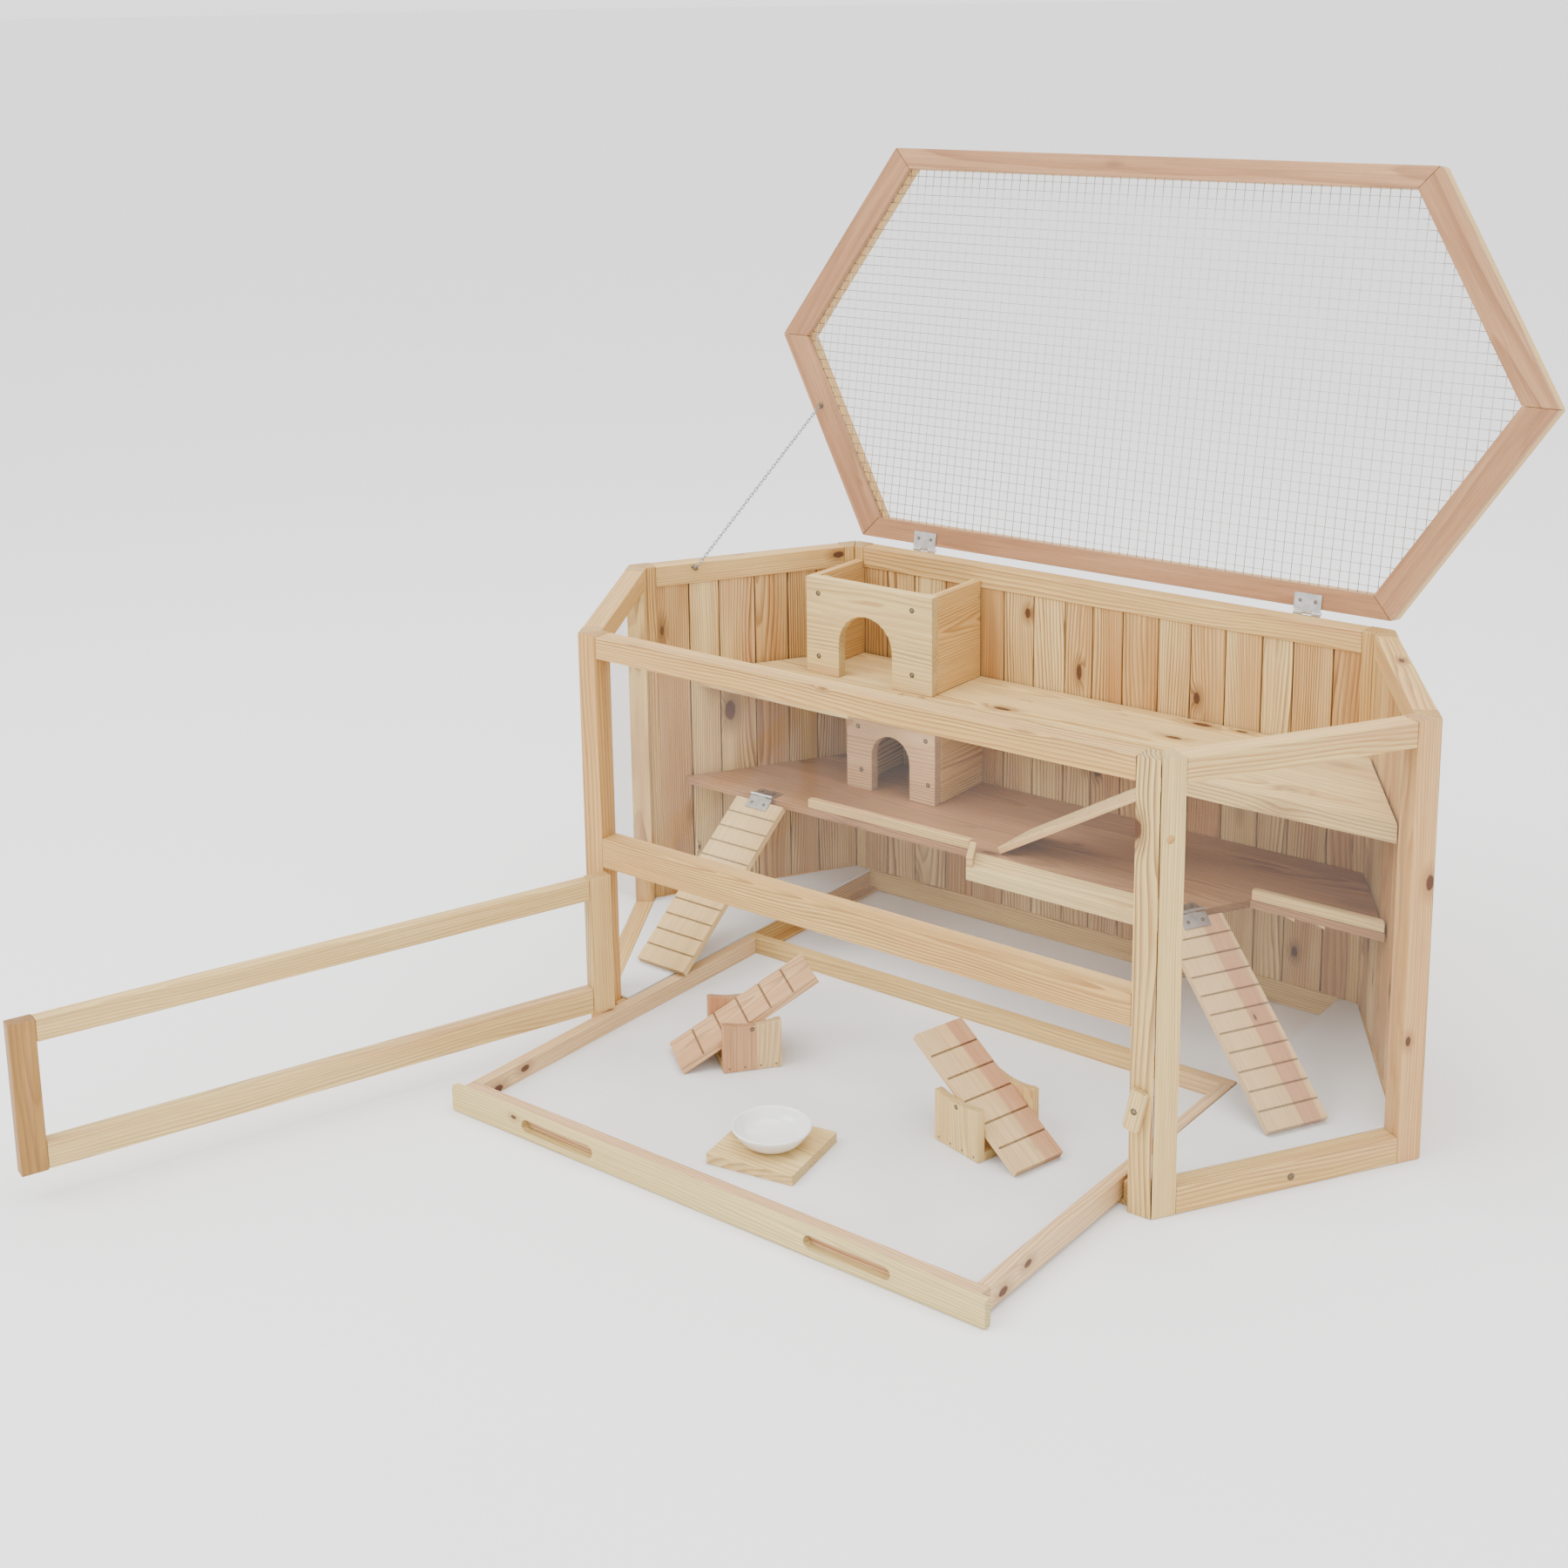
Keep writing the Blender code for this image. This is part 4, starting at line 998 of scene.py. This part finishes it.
def chain():
    """A fine chain from the wall to the lid, pulled straight, with every other link turned."""
    points = [vertex.co for vertex in frame["nodes"]["lid_chain"].data.vertices]
    ends = []
    for pick in (min, max):
        edge = pick(point.z for point in points)
        near = [point for point in points if abs(point.z - edge) < 0.004]
        ends.append(sum(near, Vector((0.0, 0.0, 0.0))) / len(near))
    start, end = ends
    run = end - start
    side = run.orthogonal()
    count = round(run.length / CHAIN_PITCH)
    bm = bmesh.new()
    for i in range(count):
        turn = Matrix.Rotation(math.pi / 2 * (i % 2) + 0.3, 4, "X")
        link_ring(bm, axes(start + run * (i + 0.5) / count, run, side) @ turn)
    piece = add_mesh("lid_chain_links", bm, CHAIN)
    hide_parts("lid_chain")
    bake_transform(piece)
    wall_anchor(start, inward_of("left_rear"))
    down = lid_axes().to_3x3() @ -UP
    screw("chain_lid_anchor", end - down * 0.0018, down, "lid", size=1.1)


def link_ring(bm, matrix, turns=12, sides=6):
    """One oval wire link about the given axes, long along X."""
    rings = []
    for i in range(turns):
        angle = 2 * math.pi * i / turns
        outward = Vector((math.cos(angle), math.sin(angle), 0.0))
        centre = Vector(((CHAIN_PITCH / 2 + CHAIN_WIRE) * outward.x, LINK_HALF_WIDTH * outward.y, 0.0))
        ring = []
        for j in range(sides):
            turn = 2 * math.pi * j / sides
            point = centre + (outward * math.cos(turn) + UP * math.sin(turn)) * CHAIN_WIRE / 2
            ring.append(bm.verts.new(matrix @ point))
        rings.append(ring)
    for i, ring in enumerate(rings):
        after = rings[(i + 1) % turns]
        for j in range(sides):
            k = (j + 1) % sides
            face = bm.faces.new((ring[j], after[j], after[k], ring[k]))
            face.smooth = True


def inward_of(name):
    """The direction that one wall's inner face looks."""
    side = WALLS[name]
    run = Vector(CORNERS[(side + 1) % 6]) - Vector(CORNERS[side])
    return Vector((-run.y, run.x, 0.0)).normalized()


def wall_anchor(tip, normal):
    """A screw in the wall that holds the chain's last link a little way off the wood."""
    stand = 0.0115
    head, shank, foot = 0.0034, 0.0013, 0.0028
    profile = [
        (0.0, stand + 0.0016), (head * 0.7, stand + 0.0013), (head, stand + 0.0004), (head, stand - 0.0002),
        (shank, stand - 0.0010), (shank, 0.0006), (foot - 0.0002, 0.0005), (foot, 0.0), (0.0, 0.0),
    ]
    matrix = axes(tip - normal * stand, normal.orthogonal(), normal)
    turned("chain_wall_anchor", profile, matrix, SCREW_METAL, "cage")


# Door, button, tray

def door_pieces():
    """Door stiles and rails in the door's own axes, the free stile a darker board."""
    joint = joints["door_hinge"]
    pivot = Vector(joint["pos_m"])
    pivot.z = 0.0
    matrix = Matrix.Translation(pivot) @ Matrix.Rotation(-math.radians(joint["range_deg"][1]), 4, "Z")
    low, high = extent("door_frame", matrix)
    stile, top_rail, bottom_rail = 0.0295, 0.027, 0.033
    recess = 0.0006        # rails lie a little under the stiles' faces and ends
    left, right = low.x + stile, high.x - stile
    inner = Vector((left + JOINT, low.y + recess, low.z + recess))
    outer = Vector((right - JOINT, high.y - recess, high.z - recess))
    top = (inner.x, inner.y, high.z - top_rail)
    bottom = (outer.x, outer.y, low.z + bottom_rail)
    for name, corner, opposite, material, grain in (
        ("stile_hinge", low, (left, high.y, high.z), PINE, {"along": 2}),
        ("stile_free", (right, low.y, low.z), high, AMBER, {"along": 2, "cut": "flat", "tone": 0.5}),
        ("rail_top", top, outer, DOOR_WOOD, {"cut": "quarter", "tone": 0.6}),
        ("rail_bottom", inner, bottom, DOOR_WOOD, {"tone": 0.4}),
    ):
        board(f"door_{name}", matrix, corner, opposite, material, "door", ["door_frame"], **grain)
    for name, body, local in (("door_hinge_fixed", "cage", WORLD), ("door_hinge_moving", "door", matrix)):
        start, end = extent(name, local)
        across = start.x + 0.0105 if body == "cage" else end.x - 0.0105
        face = end.y - LEAF_FACE - PROUD
        heights = [start.z + (end.z - start.z) * share for share in (0.12, 0.38, 0.62, 0.88)]
        spots = [local @ Vector((across, face, height)) for height in heights]
        hinge(name, body, local.to_3x3() @ Vector((0, -1, 0)), spots)


def button_pieces():
    """The turn button and its screw."""
    joint = joints["turn_button_pivot"]
    pivot = Vector(joint["pos_m"])
    tilt = math.radians(90.0 - joint["range_deg"][1])
    matrix = Matrix.Translation(pivot) @ Matrix.Rotation(tilt, 4, "Y")
    dress("turn_button", "turn_button", PALE, matrix, along=2, cut="quarter", tone=0.2)
    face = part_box("turn_button")[0].y - PROUD
    screw("turn_button_screw", (pivot.x, face, pivot.z), (0, -1, 0), "turn_button")


def tray_pieces():
    """Front board, a ring of four rails, and the sheet."""
    dress("tray_front_board", "tray", TRAY_WOOD, tone=0.2, ease=0.0009)
    low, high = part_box("tray_rails")
    rail = 0.015
    node = ["tray_rails"]
    front = low.y + rail + JOINT
    back = high.y - rail - JOINT
    for side, start in (("left", low.x), ("right", high.x - rail)):
        corner = (start, front, low.z)
        opposite = (start + rail, back, high.z)
        board(f"tray_rail_{side}", WORLD, corner, opposite, RAIL_WOOD, "tray", node, along=1)
    board("tray_rail_front", WORLD, low, (high.x, low.y + rail, high.z), PINK, "tray", node, tone=0.0)
    board("tray_rail_back", WORLD, (low.x, high.y - rail, low.z), high, PALE, "tray", node)
    dress("tray_floor", "tray", WHITE, ease=0.0004, grained=False)


# Toys and bowl

CHEEK = 0.010              # thickness of a stand's cheek
CHEEK_EDGE = 0.006         # flat part of its top at each end
HOLLOW = 0.004             # depth of its hollowed top
PIN_RADIUS = 0.002
# Screw heads on a cheek: the pin's end, and four brads in a row along the bottom
PIN_HEAD, BRAD_HEAD, BRAD_HEIGHT = 0.78, 0.36, 0.005
BRADS = (-0.8, -0.8 / 3, 0.8 / 3, 0.8)


def cheek_outline(half, height):
    """The face of a cheek, whose top is hollowed for the plank."""
    outline = [(-half, 0.0), (half, 0.0), (half, height)]
    for i in range(13):
        share = 1 - i / 6
        outline.append(((half - CHEEK_EDGE) * share, height - HOLLOW * (1 - share ** 2)))
    return [*outline, (-half, height)]


def seesaw(name, cheek_wood, plank_wood):
    """A stand with hollowed cheeks, its pin and its grooved plank."""
    joint = joints[f"{name}_pivot"]
    pivot = Vector(joint["pos_m"])
    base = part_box(f"{name}_stand")[0].z
    matrix = axes((pivot.x, pivot.y, base), Vector(joint["axis"]).cross(UP))
    high = extent(f"{name}_stand", matrix)[1]
    node = [f"{name}_stand"]
    half = high.x
    inner = high.y - CHEEK
    level = pivot.z - base
    outline = cheek_outline(half, high.z)
    upright = matrix @ Matrix.Rotation(math.pi / 2, 4, "X")
    for side, start, end, face in (("near", -high.y, -inner, high.y), ("far", inner, high.y, -high.y)):
        cheek = f"{name}_cheek_{side}"
        slab(cheek, upright, outline, start, end, cheek_wood, "tray", node, along=1, ease=0.0007)
        outward = matrix.to_3x3() @ Vector((0, math.copysign(1, face), 0))
        spots = [(0.0, level, PIN_HEAD)] + [(half * share, BRAD_HEIGHT, BRAD_HEAD) for share in BRADS]
        for i, (x, z, size) in enumerate(spots):
            screw(f"{name}_pin_{side}_{i}", matrix @ Vector((x, face, z)), outward, "tray", size=size)
    board(f"{name}_base", matrix, (-half, -inner, 0.0), (half, inner, CHEEK), PALE, "tray", node, ease=0.0006)
    bm = bmesh.new()
    rod(bm, (0, -inner - PIN_RADIUS, level), (0, inner + PIN_RADIUS, level), PIN_RADIUS, 16)
    place_piece(f"{name}_pin", bm, matrix, ZINC, "tray", node)
    plank = f"{name}_plank"
    dress(plank, plank, plank_wood, sloped_axes(plank), cut="flat", ease=0.0003, grooved=True)


# The bowl from the middle of its inside, over its rim and down to its foot: shares of radius and height
BOWL_PROFILE = (
    (0.0, 0.27), (0.30, 0.275), (0.53, 0.29), (0.68, 0.36), (0.79, 0.52), (0.87, 0.74), (0.91, 0.90),
    (0.94, 0.985), (0.968, 1.0), (0.992, 0.975), (1.0, 0.93), (0.99, 0.88), (0.93, 0.70), (0.84, 0.42),
    (0.74, 0.20), (0.65, 0.07), (0.61, 0.015), (0.57, 0.0), (0.53, 0.02), (0.50, 0.06), (0.0, 0.06),
)


def bowl():
    """A small glazed bowl on its square board."""
    dress("bowl_board", "tray", PALE, cut="flat", tone=0.1)
    low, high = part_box("food_bowl")
    centre = (low + high) / 2
    radius = (high.x - low.x) / 2
    profile = [(radius * x, (high.z - low.z) * z) for x, z in BOWL_PROFILE]
    matrix = Matrix.Translation((centre.x, centre.y, low.z))
    turned("food_bowl_glazed", profile, matrix, GLAZE, "tray", ["food_bowl"], steps=72)


# Screws in the hideouts' fronts, from the lower left corner of each front
HOUSE_SCREWS = (
    ("upper_house", 1.0, ((0.021, 0.025), (0.021, 0.114), (0.176, 0.025), (0.176, 0.114))),
    ("lower_house", 0.9, ((0.0195, 0.089), (0.1305, 0.089), (0.0245, 0.028), (0.1345, 0.028))),
)
PLUG = ((0.0, 0.00035), (0.0044, 0.0003), (0.0048, 0.0), (0.0048, -0.001), (0.0, -0.001))


def small_hardware():
    """Screws and a wooden plug that show on the hideouts and walls."""
    start = Vector(CORNERS[WALLS["right_front"]]).to_3d()
    matrix = axes(start, Vector(CORNERS[WALLS["right_front"] + 1]).to_3d() - start)
    outward = -Vector(matrix.col[1][:3])
    middle = matrix @ Vector((0.172, -PROUD, WALL_BOTTOM_RAIL * 0.45))
    screw("right_front_rail_screw", middle, outward, "cage", size=1.1)
    seat = axes(matrix @ Vector((WALL_STILE * 0.42, 0.0, 0.424)), outward.orthogonal(), outward)
    plug = turned("right_front_plug", PLUG, seat, ORANGE, "cage")
    store_grain(plug.data, tone=1.0)
    for house, size, spots in HOUSE_SCREWS:
        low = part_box(f"{house}_front")[0]
        for i, (x, z) in enumerate(spots):
            place = (low.x + x, low.y - PROUD, low.z + z)
            screw(f"{house}_screw_{i}", place, (0, -1, 0), "cage", size=size)


# Stage

def stage():
    """A pale flat floor that runs out of sight."""
    f = Finish("studio_floor")
    cloud = f.noise(f.local(), 1.5)
    f.give(Base_Color=f.mix(cloud, (0.92, 0.92, 0.92), (0.90, 0.90, 0.90)), Roughness=0.9)
    f.give(Specular_IOR_Level=0.05)
    bm = bmesh.new()
    bmesh.ops.create_grid(bm, x_segments=2, y_segments=2, size=400.0)
    floor = add_mesh("floor", bm, f.material)
    floor.location.z = -0.0002


def area_light(name, place, aim, size, watts):
    """A soft box aimed at a point."""
    data = bpy.data.lights.new(name, "AREA")
    data.shape = "RECTANGLE"
    data.size = size
    data.size_y = size * 0.8
    data.energy = watts
    light = add_object(name, data)
    light.location = place
    light.rotation_euler = (Vector(aim) - Vector(place)).to_track_quat("-Z", "Y").to_euler()


def lights():
    """White surroundings, a large key from the upper left front and a fill from the right."""
    world = bpy.data.worlds.new("studio")
    bpy.context.scene.world = world
    world.use_nodes = True
    background = world.node_tree.nodes["Background"]
    background.inputs["Color"].default_value = (1.0, 1.0, 1.0, 1.0)
    background.inputs["Strength"].default_value = 1.95
    aim = (0.0, MIDDLE, 0.3)
    area_light("key", (-1.6, MIDDLE - 2.6, 3.0), aim, 2.2, 85.0)
    area_light("fill", (3.0, MIDDLE - 1.8, 1.8), aim, 2.4, 20.0)
    area_light("top", (0.2, MIDDLE + 0.2, 3.4), aim, 2.6, 70.0)


def camera():
    """The camera of the main view."""
    data = bpy.data.cameras.new("camera")
    data.sensor_width = 36.0
    data.lens = CAMERA_LENS
    data.shift_x, data.shift_y = CAMERA_SHIFT
    data.clip_end = 900.0
    view = add_object("camera", data)
    turn = Matrix.Rotation(CAMERA_YAW, 4, "Z") @ Matrix.Rotation(math.pi / 2 - CAMERA_PITCH, 4, "X")
    view.matrix_world = (
        Matrix.Translation(Vector(CAMERA_PLACE) + Vector((0, MIDDLE, 0)))
        @ turn @ Matrix.Rotation(CAMERA_ROLL, 4, "Z")
    )
    bpy.context.scene.camera = view


camera()
stage()
lights()
front_pieces()
for wall, wall_side in WALLS.items():
    wall_matrix, window_low, window_high = wall_pieces(wall, wall_side)
    if f"{wall}_planks" in frame["nodes"]:
        plank_row(wall, wall_matrix, window_low, window_high)
panes()
shelves()
houses()
ramps()
lid_pieces()
chain()
door_pieces()
button_pieces()
tray_pieces()
seesaw("seesaw_a", TWO_TONE, PINK)
seesaw("seesaw_b", PALE, TREAD_PINK)
bowl()
small_hardware()
